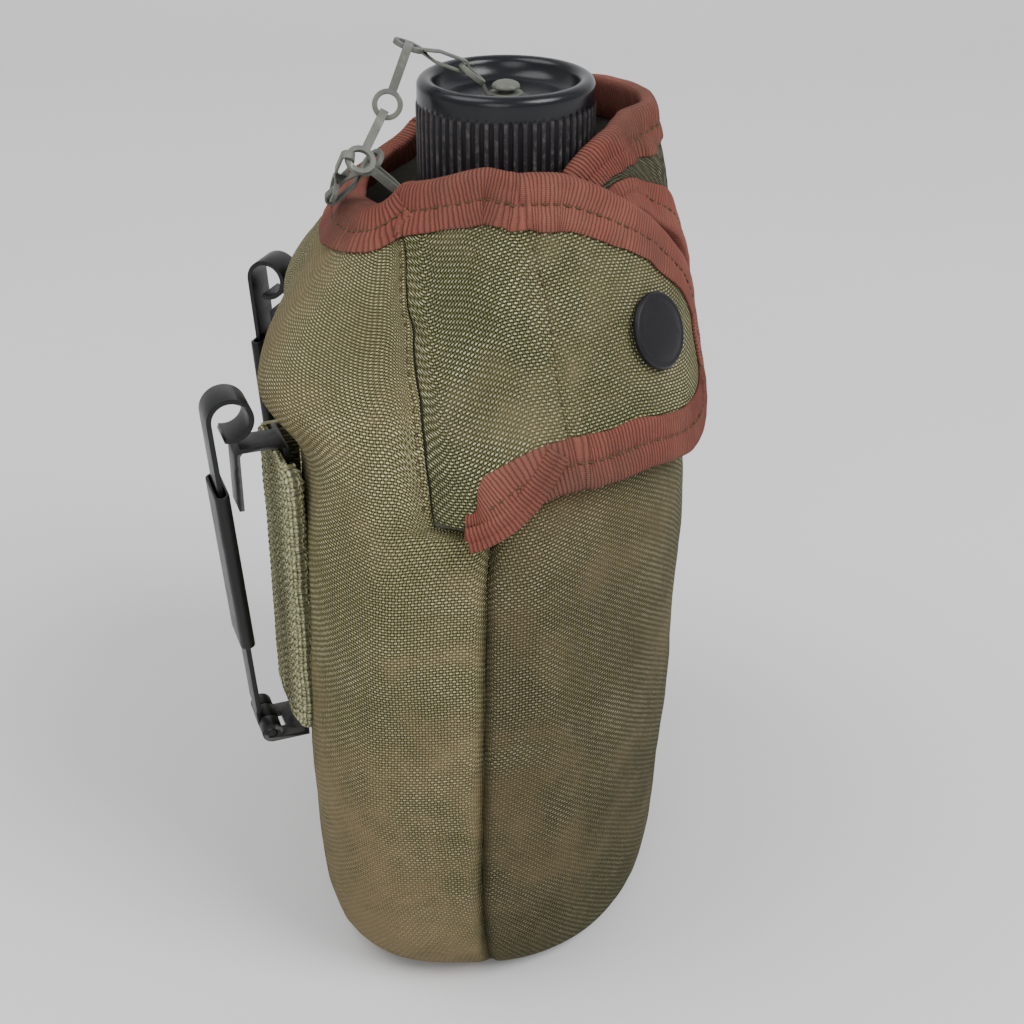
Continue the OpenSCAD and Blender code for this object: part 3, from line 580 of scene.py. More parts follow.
BLACK_STEEL = worn_metal("black_enamel", (0.004, 0.004, 0.005, 1), (0.09, 0.088, 0.085, 1), 0.36, 0.45,
                         0.58, 0.1, (0.012, 0.012, 0.012, 1))
SNAP_STEEL = worn_metal("snap_enamel", (0.004, 0.004, 0.006, 1), (0.1, 0.06, 0.04, 1), 0.42, 0.6,
                        0.9, 0.1, (0.009, 0.007, 0.009, 1))
PLATED_STEEL = worn_metal("plated_steel", (0.5, 0.49, 0.46, 1), (0.65, 0.64, 0.6, 1), 0.38, 0.3,
                          0.54, 0.06, (0.34, 0.32, 0.29, 1), metallic=0.9)
CHAIN_PAINT = worn_metal("chain_paint", (0.15, 0.158, 0.135, 1), (0.3, 0.3, 0.27, 1), 0.55, 0.42,
                         0.53, 0.06, (0.07, 0.072, 0.062, 1), metallic=0.15)
MOULDING = moulded_cap()
SHEET_STEEL = brushed_sheet()
RUBBER = brown_rubber()


# ---- Cover panels ---------------------------------------------------------------------------------
def near_side(w):
    """Mirrors an angle, so both sides share one shape: 0 at the sides, 90 in front, -90 behind."""
    return np.where(np.abs(w) > 90, np.sign(w) * 180 - w, w)


SHOULDER_Z, SHOULDER_OUT = 154.5, 8


def cover_relief(w, z):
    """How far the filled cover's cloth stands off its plain form."""
    side = near_side(w)
    body = 0.7 * ripple(side, z, 62, 3) + 0.28 * ripple(side, z, 24, 4) + 0.1 * ripple(side, z, 10, 5)
    bulge = fold(side, z, (15, 138), (26, 70), 1.9, 7) + fold(side, z, (-12, 128), (-20, 60), 1.2, 9)
    bulge = bulge + fold(side, z, (30, 135), (50, 95), -0.9, 8)
    pull = sum(fold(side, z, (-3 - 1.5 * k, 137 - 2.5 * k), (-14 - 5 * k, 141 - 11 * k), 0.55, 2.2)
               for k in range(4))
    top = 0.35 * ripple(side * 2, z, 26, 6) * ease(150, 185, z)
    rise = z - SHOULDER_Z
    shoulder = SHOULDER_OUT * np.exp(-(rise / np.where(rise < 0, 8.5, 14)) ** 2)
    shoulder = shoulder * ease(-18, -62, side)
    return (body + bulge + pull + top) * ease(-2, 22, z) + shoulder


def seam_roll(distance, z, depth=3.5, reach=1.5):
    """The cloth turns in along a seam, and puckers between the stitches."""
    pucker = 0.28 * np.sin(z * math.tau / 6.5 + 2 * np.sin(z / 17)) * np.exp(-distance / 5)
    return -depth * np.exp(-(np.maximum(distance, 0) / reach) ** 1.6) + pucker


def back_top(k):
    return 190 + 8 * np.abs(k) ** 3


def front_top(k):
    return 182 - 18 * np.exp(-(k / 0.22) ** 2)


def back_edge(z):
    """Angle of the back panel's side edge: the side seam below the slit, the flap's seam above."""
    return np.where(z < SLIT_Z - 0.4, SIDE_SEAM - 0.2, hinge_w(np.maximum(z, HINGE_FOOT)) - 0.3)


FOOT_SHRINKS = np.array([0.03, 0.12, 0.24, 0.38, 0.52, 0.65, 0.77, 0.87, 0.95])


def panel_shares(cols):
    """Columns from -1 to 1, closer together next to the seams."""
    t = np.linspace(-1, 1, cols)
    near = 1 - np.geomspace(0.003, 0.045, 9)[::-1]
    return np.unique(np.concatenate([t[np.abs(t) < 0.95], near, -near, [-1, 1]]))


def back_w(k, z):
    """Angles across the back panel; only the columns next to its edge step in at the slit."""
    upper = ease(118, 152, z)
    even = hinge_w(np.maximum(z, HINGE_FOOT)) * upper + (SIDE_SEAM - 0.2) * (1 - upper)
    turn = (90 + even) * np.abs(k) + (back_edge(z) - even) * np.abs(k) ** 14
    return -90 + np.sign(k) * turn


def panel_grid(back, cols, rise, level=0.0):
    """A panel's outer face, from under the base up to its top edge."""
    k = panel_shares(cols)
    foot = np.concatenate([np.zeros(len(FOOT_SHRINKS)), [0, 0.4, 1, 1.8, 3, 4.6, 7, 10, 14]])
    shrink = np.concatenate([FOOT_SHRINKS, np.ones(9)])
    straight = np.arange(14 + rise, SLIT_Z - 1, rise)
    share = np.linspace(0, 1, max(4, int(60 / rise)))
    rows = []
    for z, s in zip(foot, shrink):
        rows.append((np.full_like(k, z), s))
    for z in straight:
        rows.append((np.full_like(k, z), 1.0))
    top = back_top(k) if back else front_top(k)
    for t in share:
        rows.append((SLIT_Z - 0.5 + 0.3 * (t > 0) + (top - 1.5 - SLIT_Z) * t, 1.0))
    grid = []
    for z, s in rows:
        if back:
            w = back_w(k, z)
            beside = (90 + back_edge(z) - np.abs(w + 90)) * 1.15
        else:
            w = 90 + (90 - SIDE_SEAM + 0.4) * k
            beside = (1 - np.abs(k)) * (90 - SIDE_SEAM) * 1.15
        off = level + cover_relief(w, z)
        groove = 1 - 0.85 * ease(SLIT_Z - 3, SLIT_Z + 5, z) if back else 1.0
        off = off + seam_roll(beside, z) * groove * ease(-2, 8, z)
        grid.append(cover(w, z, off, s))
    return np.array(grid)


def cover_back_panel():
    return cloth_piece("cover_back_panel", panel_grid(True, 150, 1.6), 1.7, BACK_DUCK, "root",
                       ["cover_back_panel"])


def cover_front_panel():
    return cloth_piece("cover_front_panel", panel_grid(False, 150, 1.6), 1.7, FRONT_DUCK_SHADED, "root",
                       ["cover_front_panel"])


def felt_linings():
    made = []
    for name, back in (("back_felt_lining", True), ("front_felt_lining", False)):
        grid = panel_grid(back, 60, 4.0, -2.0)
        grid[:, :, 2] = np.maximum(grid[:, :, 2], 2.0)
        made.append(cloth_piece(name, grid, 1.8, FELT, "root", [name]))
    return made


# ---- Flaps ----------------------------------------------------------------------------------------
# Edges of a flap: share of its length, angle, height
LEFT_TOP = np.array([[0, -41, 198], [0.12, -29, 199.5], [0.3, -8, 203], [0.5, 22, 203],
                     [0.62, 38, 198.5], [0.78, 60, 190], [0.9, 76, 179], [1, 83, 168]], float)
LEFT_LOW = np.array([[0, -3, 137], [0.1, 4, 136], [0.25, 16, 145], [0.5, 44, 145],
                     [0.75, 67, 140], [0.88, 77, 141], [1, 83, 149]], float)
RIGHT_TOP = np.array([[0, -41, 198], [0.12, -29, 199.8], [0.3, -8, 204], [0.45, 22, 207],
                      [0.55, 45, 209], [0.68, 75, 210], [0.78, 100, 209], [0.9, 130, 206],
                      [1, 152, 199]], float)
RIGHT_LOW = np.array([[0, -3, 137], [0.08, 4, 136], [0.2, 16, 145], [0.4, 44, 145],
                      [0.55, 68, 140], [0.62, 80, 142], [0.67, 87, 152], [0.72, 88, 167],
                      [0.78, 95, 181], [0.88, 115, 192], [1, 148, 189]], float)
TAPE_W = 10.5
RIB_PITCH = 0.9
TAPE_END_W = 0.8
BEND_WIDTH = 7.0
FLAP_END_SHARE = 0.98


def soft_edge(edge, s):
    """A point on a flap's edge, rounded off between the points that it is given by."""
    spread = 0.022
    samples = [np.interp(np.clip(s + spread * t, 0, 1), edge[:, 0], edge[:, 1]) for t in (-1, 0, 1)]
    heights = [np.interp(np.clip(s + spread * t, 0, 1), edge[:, 0], edge[:, 2]) for t in (-1, 0, 1)]
    return (samples[0] + 2 * samples[1] + samples[2]) / 4, (heights[0] + 2 * heights[1] + heights[2]) / 4


def flap_level(w, z):
    base = 0.2 + 4.4 * ease(-6, 5.5, w) + 1.4 * ease(8, 35, w)
    tongue = ease(88, 104, w) * ease(172, 196, z)
    return base * (1 - tongue) + tongue * (0.5 - 3.5 * ease(104, 152, w))


def crease_w(z):
    """Second line of stitches on each flap, a little way round from its hinge seam."""
    return np.interp(z, [145, 154, 165, 180, 192, 203], [25, 21, 18, 14, 9, 4])


def flap_relief(w, z, seed):
    body = 0.45 * ripple(w, z, 34, seed) + 0.12 * ripple(w, z, 14, seed + 1)
    from_crease = (w - crease_w(z)) * MM_PER_DEGREE
    crease = -0.55 * np.exp(-(from_crease / 1.1) ** 2)
    crease = crease + 0.45 * np.exp(-((from_crease - 3) / 3) ** 2)
    from_seam = (w - hinge_w(np.clip(z, HINGE_FOOT, HINGE_HEAD))) * MM_PER_DEGREE
    seam = -0.45 * np.exp(-(from_seam / 1.2) ** 2) * ease(199, 192, z)
    pucker = 0.22 * np.sin(z * math.tau / 7) * np.exp(-np.abs(from_seam) / 4) * ease(199, 190, z)
    around_snap = np.hypot((w - SNAP_W) * 0.85, z - SNAP_Z)
    dish = -0.7 * np.exp(-(around_snap / 9) ** 2)
    own = ease(0, 10, from_seam)
    return own * (body + crease + dish) + (1 - own) * cover_relief(w, z) + seam + pucker


def tongue_pleats(w, z):
    """Soft pleats that run down from the tongue, where the cloth is drawn in to the neck."""
    fan = sum(fold(w, z, (84 + 9 * k, 204), (78 + 3.2 * k, 178 + 4 * k), 1.1 * (-1) ** k, 2.6)
              for k in range(5))
    return fan * ease(70, 84, w)


class Flap:
    """One flap: its edges, its surface and which side it is on."""

    def __init__(self, side, top, low, seed):
        self.side, self.top, self.low, self.seed = side, top, low, seed

    def surface(self, w, z, level=0.0):
        relief = flap_relief(w, z, self.seed)
        if self.side == "right":
            relief = relief + tongue_pleats(w, z)
        points = cover(w, z, flap_level(w, z) + relief + level)
        return mirrored(points) if self.side == "left" else points

    def at(self, s, t):
        """Angle and height at shares s of its length and t of its height."""
        (w0, z0), (w1, z1) = soft_edge(self.low, s), soft_edge(self.top, s)
        along = HINGE_FOOT + (HINGE_HEAD - HINGE_FOOT) * t
        foot, head = hinge_w(HINGE_FOOT), hinge_w(HINGE_HEAD)
        bow = hinge_w(along) - (foot + (head - foot) * t)
        return w0 + (w1 - w0) * t + bow * np.maximum(0, 1 - s) ** 4, z0 + (z1 - z0) * t

    def outline(self):
        """Its free edge from the hinge along the top, round the end and back along the foot."""
        s = np.linspace(0, 1, 240)
        ends = [self.at(s, np.ones_like(s)), self.at(np.ones(30), np.linspace(1, 0, 32)[1:-1]),
                self.at(s[::-1], np.zeros_like(s))]
        path = np.concatenate([np.stack(e, -1) for e in ends])
        past_end = (np.arange(len(path)) > 300) & (path[:, 0] < TAPE_END_W)
        path = path[~past_end]
        return smooth_path(path, self.surface, 3.2 if self.side == "left" else 2.4)


def even_steps(path, surface, step):
    """Spaces a path's points evenly along the surface."""
    points = surface(path[:, 0], path[:, 1])
    run = np.concatenate([[0], np.cumsum(np.linalg.norm(np.diff(points, axis=0), axis=1))])
    want = np.arange(0, run[-1], step)
    return np.stack([np.interp(want, run, path[:, k]) for k in (0, 1)], -1), want


def smooth_path(path, surface, reach):
    """Rounds a path's corners over about reach millimetres, keeping its two ends."""
    path, _ = even_steps(path, surface, 0.6)
    span = int(reach / 0.6) * 3
    offsets = np.arange(-span, span + 1)
    weight = np.exp(-(offsets * 0.6 / reach) ** 2 / 2)
    padded = np.concatenate([2 * path[0] - path[1:span + 1][::-1], path,
                             2 * path[-1] - path[-span - 1:-1][::-1]])
    return np.stack([np.convolve(padded[:, k], weight / weight.sum(), "valid") for k in (0, 1)], -1)


def inward_steps(path, surface, side):
    """For each point of a path, the change of angle and height that goes 1 mm to one side of it."""
    h = 0.05
    w, z = path[:, 0], path[:, 1]
    along_w = (surface(w + h, z) - surface(w - h, z)) / (2 * h)
    along_z = (surface(w, z + h) - surface(w, z - h)) / (2 * h)
    tangent = unit_rows(np.gradient(surface(w, z), axis=0))
    inward = unit_rows(np.cross(np.cross(along_w, along_z), tangent) * side)
    a, b, c = [(p * q).sum(1) for p, q in ((along_w, along_w), (along_w, along_z), (along_z, along_z))]
    p, q = (along_w * inward).sum(1), (along_z * inward).sum(1)
    det = a * c - b * b
    return np.stack([(c * p - b * q) / det, (a * q - b * p) / det], -1)


def tape_profile(lining):
    """Points round a folded tape's section: distance in from the edge, and level off the cloth."""
    back = lining - 0.9
    outer = [(0.985, 0.02), (1, 0.1), (1.005, 0.4), (0.99, 0.62), (0.95, 0.74), (0.85, 0.82),
             (0.72, 0.82), (0.6, 0.74), (0.53, 0.52), (0.5, 0.45), (0.47, 0.52), (0.4, 0.74),
             (0.27, 0.88), (0.13, 0.9), (0.03, 0.75)]
    ring = [(d * TAPE_W, v) for d, v in outer]
    ring += [(-0.55, 0.2), (-0.8, lining * 0.3), (-0.8, lining * 0.7), (-0.55, lining - 0.25)]
    ring += [(0.3, back + 0.1), (1.5, back), (TAPE_W * 0.5, back), (TAPE_W - 0.4, back),
             (TAPE_W, lining - 0.65), (TAPE_W, lining - 0.1)]
    ring += [(TAPE_W - 0.4, lining - 0.05), (1, lining - 0.05), (0.1, lining * 0.6),
             (0.1, lining * 0.35), (1, 0.0), (TAPE_W - 1, 0.0)]
    return np.array(ring)


def meeting_steps(path, surface, side, before, after):
    """Inward steps, eased round corners and into the tapes that meet this one end to end."""
    whole = np.concatenate([before, path, after])
    steps = inward_steps(whole, surface, side)
    weight = np.exp(-(np.arange(-8, 9) / 4.0) ** 2)
    padded = np.pad(steps, ((8, 8), (0, 0)), mode="edge")
    steps = np.stack([np.convolve(padded[:, k], weight / weight.sum(), "valid") for k in (0, 1)], -1)
    return steps[len(before):len(before) + len(path)]


def room_for_tape(points, run):
    """Share of the full width that a tape has, where another stretch of it runs close by."""
    every = slice(None, None, 8)
    gap = np.linalg.norm(points[every][:, None] - points[every][None], axis=-1)
    gap[np.abs(run[every][:, None] - run[every][None]) < 24] = 1000
    room = np.interp(run, run[every], np.minimum(gap.min(1) * 0.47 / TAPE_W, 1))
    weight = np.ones(17) / 17
    return np.convolve(np.pad(room, 8, mode="edge"), weight, "valid")


def folded_tape(name, surface, path, side, lining, body, replaces, seed, before=(), after=(),
                end_taper=0.0, width=1.0):
    """Binding folded over an edge, with real ribs, puckers and a channel for its stitches."""
    fine, run = even_steps(path, surface, RIB_PITCH / 4)
    before = np.reshape(before, (-1, 2))
    after = np.reshape(after, (-1, 2))
    steps = meeting_steps(fine, surface, side, before, after)
    ring = tape_profile(lining)
    wander = 0.35 * np.sin(run / 5.3 + seed) + 0.25 * np.sin(run / 2.9 + 2 * seed)
    room = room_for_tape(surface(fine[:, 0], fine[:, 1]), run)
    room = width * room * (1 - end_taper * ease(run[-1] - 14, run[-1], run))
    rows = []
    rib = 0.085 * np.abs(np.sin(run * math.pi / RIB_PITCH))
    for d, level in ring:
        share = max(d, 0) / TAPE_W
        depth = d + wander * share ** 2 * 0.7
        lift = level + (0.1 * np.sin(run * math.tau / 6.3 + 3 * np.sin(run / 23 + seed))
                        * share * (1 - share) * 4 + 0.06 * np.sin(run / 7 + d))
        outside = level > 0.2 or level < lining - 0.6 or d < 0
        lift = lift + rib * (1 if level > -0.5 else -1) * outside
        spot = fine + steps * (depth * (room if d > 0 else 1))[:, None]
        rows.append(surface(spot[:, 0], spot[:, 1], lift))
    grid = np.stack(rows, 1)
    n, m = grid.shape[:2]
    centre = grid.mean(1, keepdims=True)
    turn = (np.cross(np.roll(grid, -1, 1) - grid, np.gradient(grid, axis=0)) * (grid - centre)).sum()
    faces = grid_faces(n, m, 0, flip=turn > 0, wrap=True)
    first, last = list(range(m)), list(range((n - 1) * m, n * m))
    faces += [first, last[::-1]] if turn > 0 else [first[::-1], last]
    across = np.broadcast_to(ring[:, 0], (n, m))
    along = np.broadcast_to(run[:, None], (n, m))
    place = np.stack([along, across, np.zeros((n, m))], -1)
    flat = grid.reshape(-1, 3)
    return new_piece(name, flat, faces, TAPE, body,
                     {"weave": place.reshape(-1, 3), "rest": flat}, replaces)


def stitch_row(name, surface, path, side, depth, level, body, pitch=2.5, length=2.1, radius=0.22):
    """A row of stitches: short bowed threads end to end, set in a distance from an edge."""
    fine, run = even_steps(path, surface, 0.25)
    spot = fine + inward_steps(fine, surface, side) * depth
    line = surface(spot[:, 0], spot[:, 1], level)
    low = surface(spot[:, 0], spot[:, 1], level - 1)
    up = line - low
    run = np.concatenate([[0], np.cumsum(np.linalg.norm(np.diff(line, axis=0), axis=1))])
    points, faces = [], []
    sides, beads = 6, 6
    for start in np.arange(2.0, run[-1] - length - 1, pitch):
        at = start + length * np.linspace(0, 1, beads)
        spine = np.stack([np.interp(at, run, line[:, k]) for k in range(3)], -1)
        rise = np.stack([np.interp(at, run, up[:, k]) for k in range(3)], -1)
        t = np.linspace(0, 1, beads)
        spine = spine + rise * (0.42 * np.sin(math.pi * t) - 0.32)[:, None]
        tangent = unit_rows(np.gradient(spine, axis=0))
        cross = unit_rows(np.cross(tangent, rise))
        lift = np.cross(cross, tangent)
        thick = radius * np.sqrt(np.clip(np.sin(math.pi * np.clip(t, 0.06, 0.94)), 0, 1))
        base = len(points)
        for i in range(beads):
            for j in range(sides):
                a = math.tau * j / sides
                points.append(spine[i] + thick[i] * (cross[i] * math.cos(a) + lift[i] * math.sin(a)))
        faces += grid_faces(beads, sides, base, wrap=True)
        faces += [list(range(base, base + sides))[::-1],
                  list(range(base + (beads - 1) * sides, base + beads * sides))]
    points = np.array(points)
    return new_piece(name, points, faces, THREAD, body, {"rest": points})


def hinge_slab():
    """Start and end of the strip in which a flap's cloth turns, for the right side, in mm."""
    foot = cover(hinge_w(HINGE_FOOT), HINGE_FOOT)
    head = cover(hinge_w(HINGE_HEAD), HINGE_HEAD)
    axis = (head - foot) / np.linalg.norm(head - foot)
    middle = (foot + head) / 2
    out = middle - np.array([0, 4, middle[2]])
    across = np.cross(out, axis)
    across /= np.linalg.norm(across)
    if across[1] > 0:
        across = -across
    heights = np.linspace(HINGE_FOOT, HINGE_HEAD, 20)
    seam = cover(hinge_w(heights), heights, 1.0)
    first = ((seam - middle) @ across).max()
    return middle + across * first, middle + across * (first + BEND_WIDTH)


def bend_at_hinge(piece, side):
    start, end = hinge_slab()
    if side == "left":
        start, end = mirrored(start), mirrored(end)
    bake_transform(piece)


def flap_cloth(flap, name, level, thickness, material, cols, rows):
    """The flap's sheet, which stops inside its folded tape."""
    s = np.linspace(0, FLAP_END_SHARE, cols)
    w0, z0 = flap.at(s, np.zeros_like(s))
    w1, z1 = flap.at(s, np.ones_like(s))
    height = np.linalg.norm(flap.surface(w1, z1) - flap.surface(w0, z0), axis=-1)
    cut = np.minimum(0.42, 2.2 / np.maximum(height, 1))
    grid = []
    for i in range(rows):
        w, z = flap.at(s, cut + (1 - 2 * cut) * (i / (rows - 1)))
        grid.append(flap.surface(w, z, level))
    piece = cloth_piece(name, np.array(grid), thickness, material, None, [name])
    bend_at_hinge(piece, flap.side)
    return piece


def flap_set(flap, material):
    side = flap.side
    body = f"{side}_flap"
    canvas = flap_cloth(flap, f"{side}_flap", 0.0, 1.25, material, 120, 56)
    lining = flap_cloth(flap, f"{side}_flap_lining", -1.35, 1.0, FELT, 60, 28)
    path = flap.outline()
    tape = folded_tape(f"{side}_flap_tape", flap.surface, path, -1, -FLAP_THICK, None,
                       [f"{side}_flap_tape"], 1.0 if side == "left" else 2.0, back_path()[-12:],
                       end_taper=0.5)
    seam = stitch_row(f"{side}_flap_tape_stitches", flap.surface, path, -1, TAPE_W * 0.5, 0.62,
                      None)
    heights = np.linspace(140, 194, 60)
    line = np.stack([crease_w(heights), heights], -1)
    crease = stitch_row(f"{side}_flap_crease_stitches", flap.surface, line, -1, 0.0, 0.1, None,
                        pitch=2.6, length=1.9, radius=0.2)
    corner = corner_strip(flap)
    for piece in (tape, seam, crease, corner):
        bend_at_hinge(piece, side)
    return canvas, lining, tape


def corner_strip(flap):
    """The binding's rear end, folded back over itself towards the side seam."""
    t = np.linspace(0, 1, 30)
    path = np.stack([16.5 - 15.2 * t, 153.5 - 15.6 * t - 2.0 * np.sin(math.pi * t)], -1)

    def raised(w, z, level=0.0):
        return flap.surface(w, z, level * 0.7 + 1.05)

    return folded_tape(f"{flap.side}_flap_tape_corner", raised, path, 1, -0.7, None, (), 5.0,
                       width=0.42)


def hinge_seam(side):
    """Stitches through both cloths where the flap is sewn to the back panel."""
    heights = np.linspace(138, 196, 70)
    path = np.stack([hinge_w(heights) - 1.6, heights], -1)

    def surface(w, z, level=0.0):
        points = cover(w, z, cover_relief(w, z) + level - 0.35)
        return mirrored(points) if side == "left" else points

    stitch_row(f"{side}_hinge_stitches", surface, path, 1, 0.0, 0.25, "root",
               pitch=2.7, length=1.9, radius=0.2)


LEFT = Flap("left", LEFT_TOP, LEFT_LOW, 21)
RIGHT = Flap("right", RIGHT_TOP, RIGHT_LOW, 31)


def back_path():
    """Upper edge of the back panel, from the left hinge to the right one."""
    k = np.linspace(-1, 1, 240)
    z = back_top(k)
    return np.stack([-90 + (90 + hinge_w(z) - 0.3) * k, z], -1)


def edge_tapes():
    """Bindings of the back and front panels' upper edges.

    The back one folds down over its cloth. The front one stands up off its edge, unlike the frame's.
    """
    def panel(w, z, level=0.0):
        return cover(w, z, cover_relief(w, z) + level)

    beyond = RIGHT.outline()[2:14]
    other = beyond[::-1] * (-1, 1) - (180, 0)
    k = np.linspace(-1, 1, 200)
    front_path = np.stack([90 + (90 - SIDE_SEAM - 1.2) * k, front_top(k)], -1)
    folded_tape("back_edge_tape", panel, back_path(), -1, LINING_IN, "root", ["back_edge_tape"],
                3.0, other, beyond)
    folded_tape("front_edge_tape", panel, front_path, 1, LINING_IN, "root", ["front_edge_tape"], 4.0)
    stitch_row("back_edge_tape_stitches", panel, back_path(), -1, TAPE_W * 0.5, 0.62, "root")
    stitch_row("front_edge_tape_stitches", panel, front_path, 1, TAPE_W * 0.5, 0.62, "root")


# ---- Pieces turned about an axis ------------------------------------------------------------------
def turned(name, profile, material, body, segments, at):
    """A solid of revolution from (radius, height) points, about Z of the frame at."""
    profile = np.array(profile, float)
    a = np.arange(segments) * math.tau / segments
    grid = np.stack([profile[:, :1] * np.cos(a), profile[:, :1] * np.sin(a),
                     np.repeat(profile[:, 1:], segments, 1)], -1)
    points = grid.reshape(-1, 3) @ at[:3, :3].T + at[:3, 3]
    faces = grid_faces(len(profile), segments, wrap=True)
    return new_piece(name, points, faces, material, body, replaces=[name])


def arc(centre, radius, start, end, steps):
    """Points of an arc from start to end, in degrees."""
    a = np.radians(np.linspace(start, end, steps))
    return [(centre[0] + radius * math.cos(t), centre[1] + radius * math.sin(t)) for t in a]


# ---- Cap ------------------------------------------------------------------------------------------
CAP_R, CAP_FOOT, CAP_TOP, CAP_FLOOR = 21.0, 183.6, 216.0, 211.0
RIB_COUNT = 60
RIB_DEPTH = 0.55


def cap_shell():
    """The screw cap in one closed skin: ribbed skirt, smooth rounded rim, bowl and threaded bore."""
    low, high = CAP_FOOT, CAP_TOP
    profile = [(17.4, low + 0.3)] + arc((18, low + 0.5), 0.5, 200, 270, 4)
    profile += arc((20.3, low + 0.6), 0.6, 270, 355, 5)
    profile += [(CAP_R, z) for z in np.linspace(low + 1, 209.2, 20)]
    profile += [(CAP_R - 0.1, 210), (CAP_R - 0.25, 210.7), (CAP_R - 0.3, 211.4), (CAP_R - 0.3, 213)]
    profile += arc((CAP_R - 2.3, 214), 2.0, 0, 168, 16)
    profile += [(16.4, 213.4), (15.7, 212.4), (14.9, 211.6), (13.6, 211.15), (12, CAP_FLOOR),
                (6, CAP_FLOOR), (1.55, CAP_FLOOR), (1.55, 208.05), (16, 208.05), (17.2, 207.8)]
    profile += [(17.35 - 0.25 * (i % 2), z) for i, z in enumerate(np.arange(207, 186, -1.25))]
    profile = np.array(profile + [profile[0]])
    segments = RIB_COUNT * 12
    a = np.arange(segments) * math.tau / segments
    wave = np.clip(0.5 + 1.1 * np.cos(a * RIB_COUNT), 0, 1)
    ribbed = ease(low + 0.4, low + 1.6, profile[:, 1]) * ease(211.0, 209.4, profile[:, 1])
    ribbed = ribbed * (profile[:, 0] > 19.5)
    radius = profile[:, :1] - RIB_DEPTH * ribbed[:, None] * (1 - wave)[None, :]
    grid = np.stack([radius * np.cos(a), radius * np.sin(a),
                     np.repeat(profile[:, 1:], segments, 1)], -1)[:-1]
    faces = ring_faces(len(grid), segments)
    crest = np.where(ribbed[:-1, None] > 0.5, wave[None, :], 0.5)
    gloss = np.where(ribbed[:-1, None] > 0.5, 0.0, 1.0) * np.ones_like(crest)
    marks = {"crest": np.stack([crest, gloss, crest * 0], -1).reshape(-1, 3)}
    return new_piece("cap_shell", grid.reshape(-1, 3), faces, MOULDING, "cap", marks,
                     ["cap_shell"])


def bottle_neck():
    """The neck with its single-start thread, whose crests reach the radius of the plain cylinder."""
    root_r, crest_r, bore = 16.0, 16.8, 14.6
    pitch, segments = 5.0, 144
    heights = np.concatenate([np.arange(184, 203.2, 0.35), [203.6, 204.6, 205.4, 205.8]])
    a = np.arange(segments) * math.tau / segments
    rows = [(bore, 178), (bore + 0.8, 178), (16.4, 178.4), (root_r, 181.4), (root_r, 183.2)]
    grid = [np.stack([np.full(segments, r) * np.cos(a), r * np.sin(a), np.full(segments, z)], -1)
            for r, z in rows]
    for z in heights:
        phase = np.abs(((z - 184) / pitch - a / math.tau) % 1 - 0.5) * 2
        strength = ease(184.5, 187, z) * ease(203, 201.5, z)
        r = root_r + (crest_r - root_r) * strength * ease(0.55, 0.25, phase)
        if z > 203.3:
            r = np.full(segments, root_r + 0.35 - 0.5 * max(0, z - 205))
        grid.append(np.stack([r * np.cos(a), r * np.sin(a), np.full(segments, z)], -1))
    for r, z in ((15.6, 206), (14.9, 206), (14.6, 205.7), (14.6, 190)):
        grid.append(np.stack([np.full(segments, r) * np.cos(a), r * np.sin(a), np.full(segments, z)], -1))
    grid = np.array(grid)
    faces = ring_faces(len(grid), segments)
    return new_piece("bottle_neck", grid.reshape(-1, 3), faces, SHEET_STEEL, "root",
                     None, ["bottle_neck"])


# ---- Small metal pieces ---------------------------------------------------------------------------
def softened(node, material, body, radius):
    """A CAD piece's own shape with its sharp edges rounded over."""
    piece = frame["nodes"][node].copy()
    piece.data = piece.data.copy()
    piece.parent = None
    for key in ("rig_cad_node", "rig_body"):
        if key in piece:
            del piece[key]
    piece.name = node + "_finished"
    bpy.context.scene.collection.objects.link(piece)
    work = bmesh.new()
    work.from_mesh(piece.data)
    bmesh.ops.remove_doubles(work, verts=work.verts, dist=1e-6)
    bmesh.ops.dissolve_limit(work, angle_limit=math.radians(1), verts=work.verts, edges=work.edges)
    sharp = [e for e in work.edges if len(e.link_faces) == 2 and e.calc_face_angle(0) > math.radians(35)]
    bmesh.ops.bevel(work, geom=sharp, offset=radius * MM, segments=3, affect="EDGES",
                    profile=0.5, clamp_overlap=True)
    work.to_mesh(piece.data)
    work.free()
    for polygon in piece.data.polygons:
        polygon.use_smooth = True
    piece.data.materials.clear()
    piece.data.materials.append(material)
    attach(piece, body)
    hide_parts(node)
    return piece


def keepers():
    for side in ("left", "right"):
        for part in ("back_bar", "outer_bar", "pin"):
            softened(f"{side}_keeper_{part}", BLACK_STEEL, "root", 0.28)
        slide = f"{side}_keeper_slide"
        softened(slide, BLACK_STEEL, slide, 0.3)


def chain():
    softened("chain_tab", CHAIN_PAINT, "chain_tab", 0.2)
    for k in range(1, 7):
        name = f"chain_link_{k}"
        softened(name, CHAIN_PAINT, name, 0.2)
    softened("chain_collar", CHAIN_PAINT, "root", 0.2)
    softened("cap_rivet", CHAIN_PAINT, "cap", 0.2)


def snap_frame(side):
    """Frame at a snap, with Z along the cover's outward direction."""
    here = cover(SNAP_W, SNAP_Z)
    across = cover(SNAP_W + 1, SNAP_Z) - cover(SNAP_W - 1, SNAP_Z)
    up = cover(SNAP_W, SNAP_Z + 2) - cover(SNAP_W, SNAP_Z - 2)
    n = np.cross(up, across)
    n = n / np.linalg.norm(n)
    n = n if n[0] > 0 else -n
    x = np.cross(np.array([0, 0, 1.0]), n)
    x /= np.linalg.norm(x)
    made = np.eye(4)
    made[:3, 0], made[:3, 1], made[:3, 2], made[:3, 3] = x, np.cross(n, x), n, here
    if side == "left":
        flip = np.diag([-1.0, 1, 1, 1])
        made = flip @ made @ np.diag([-1.0, 1, 1, 1])
    return made


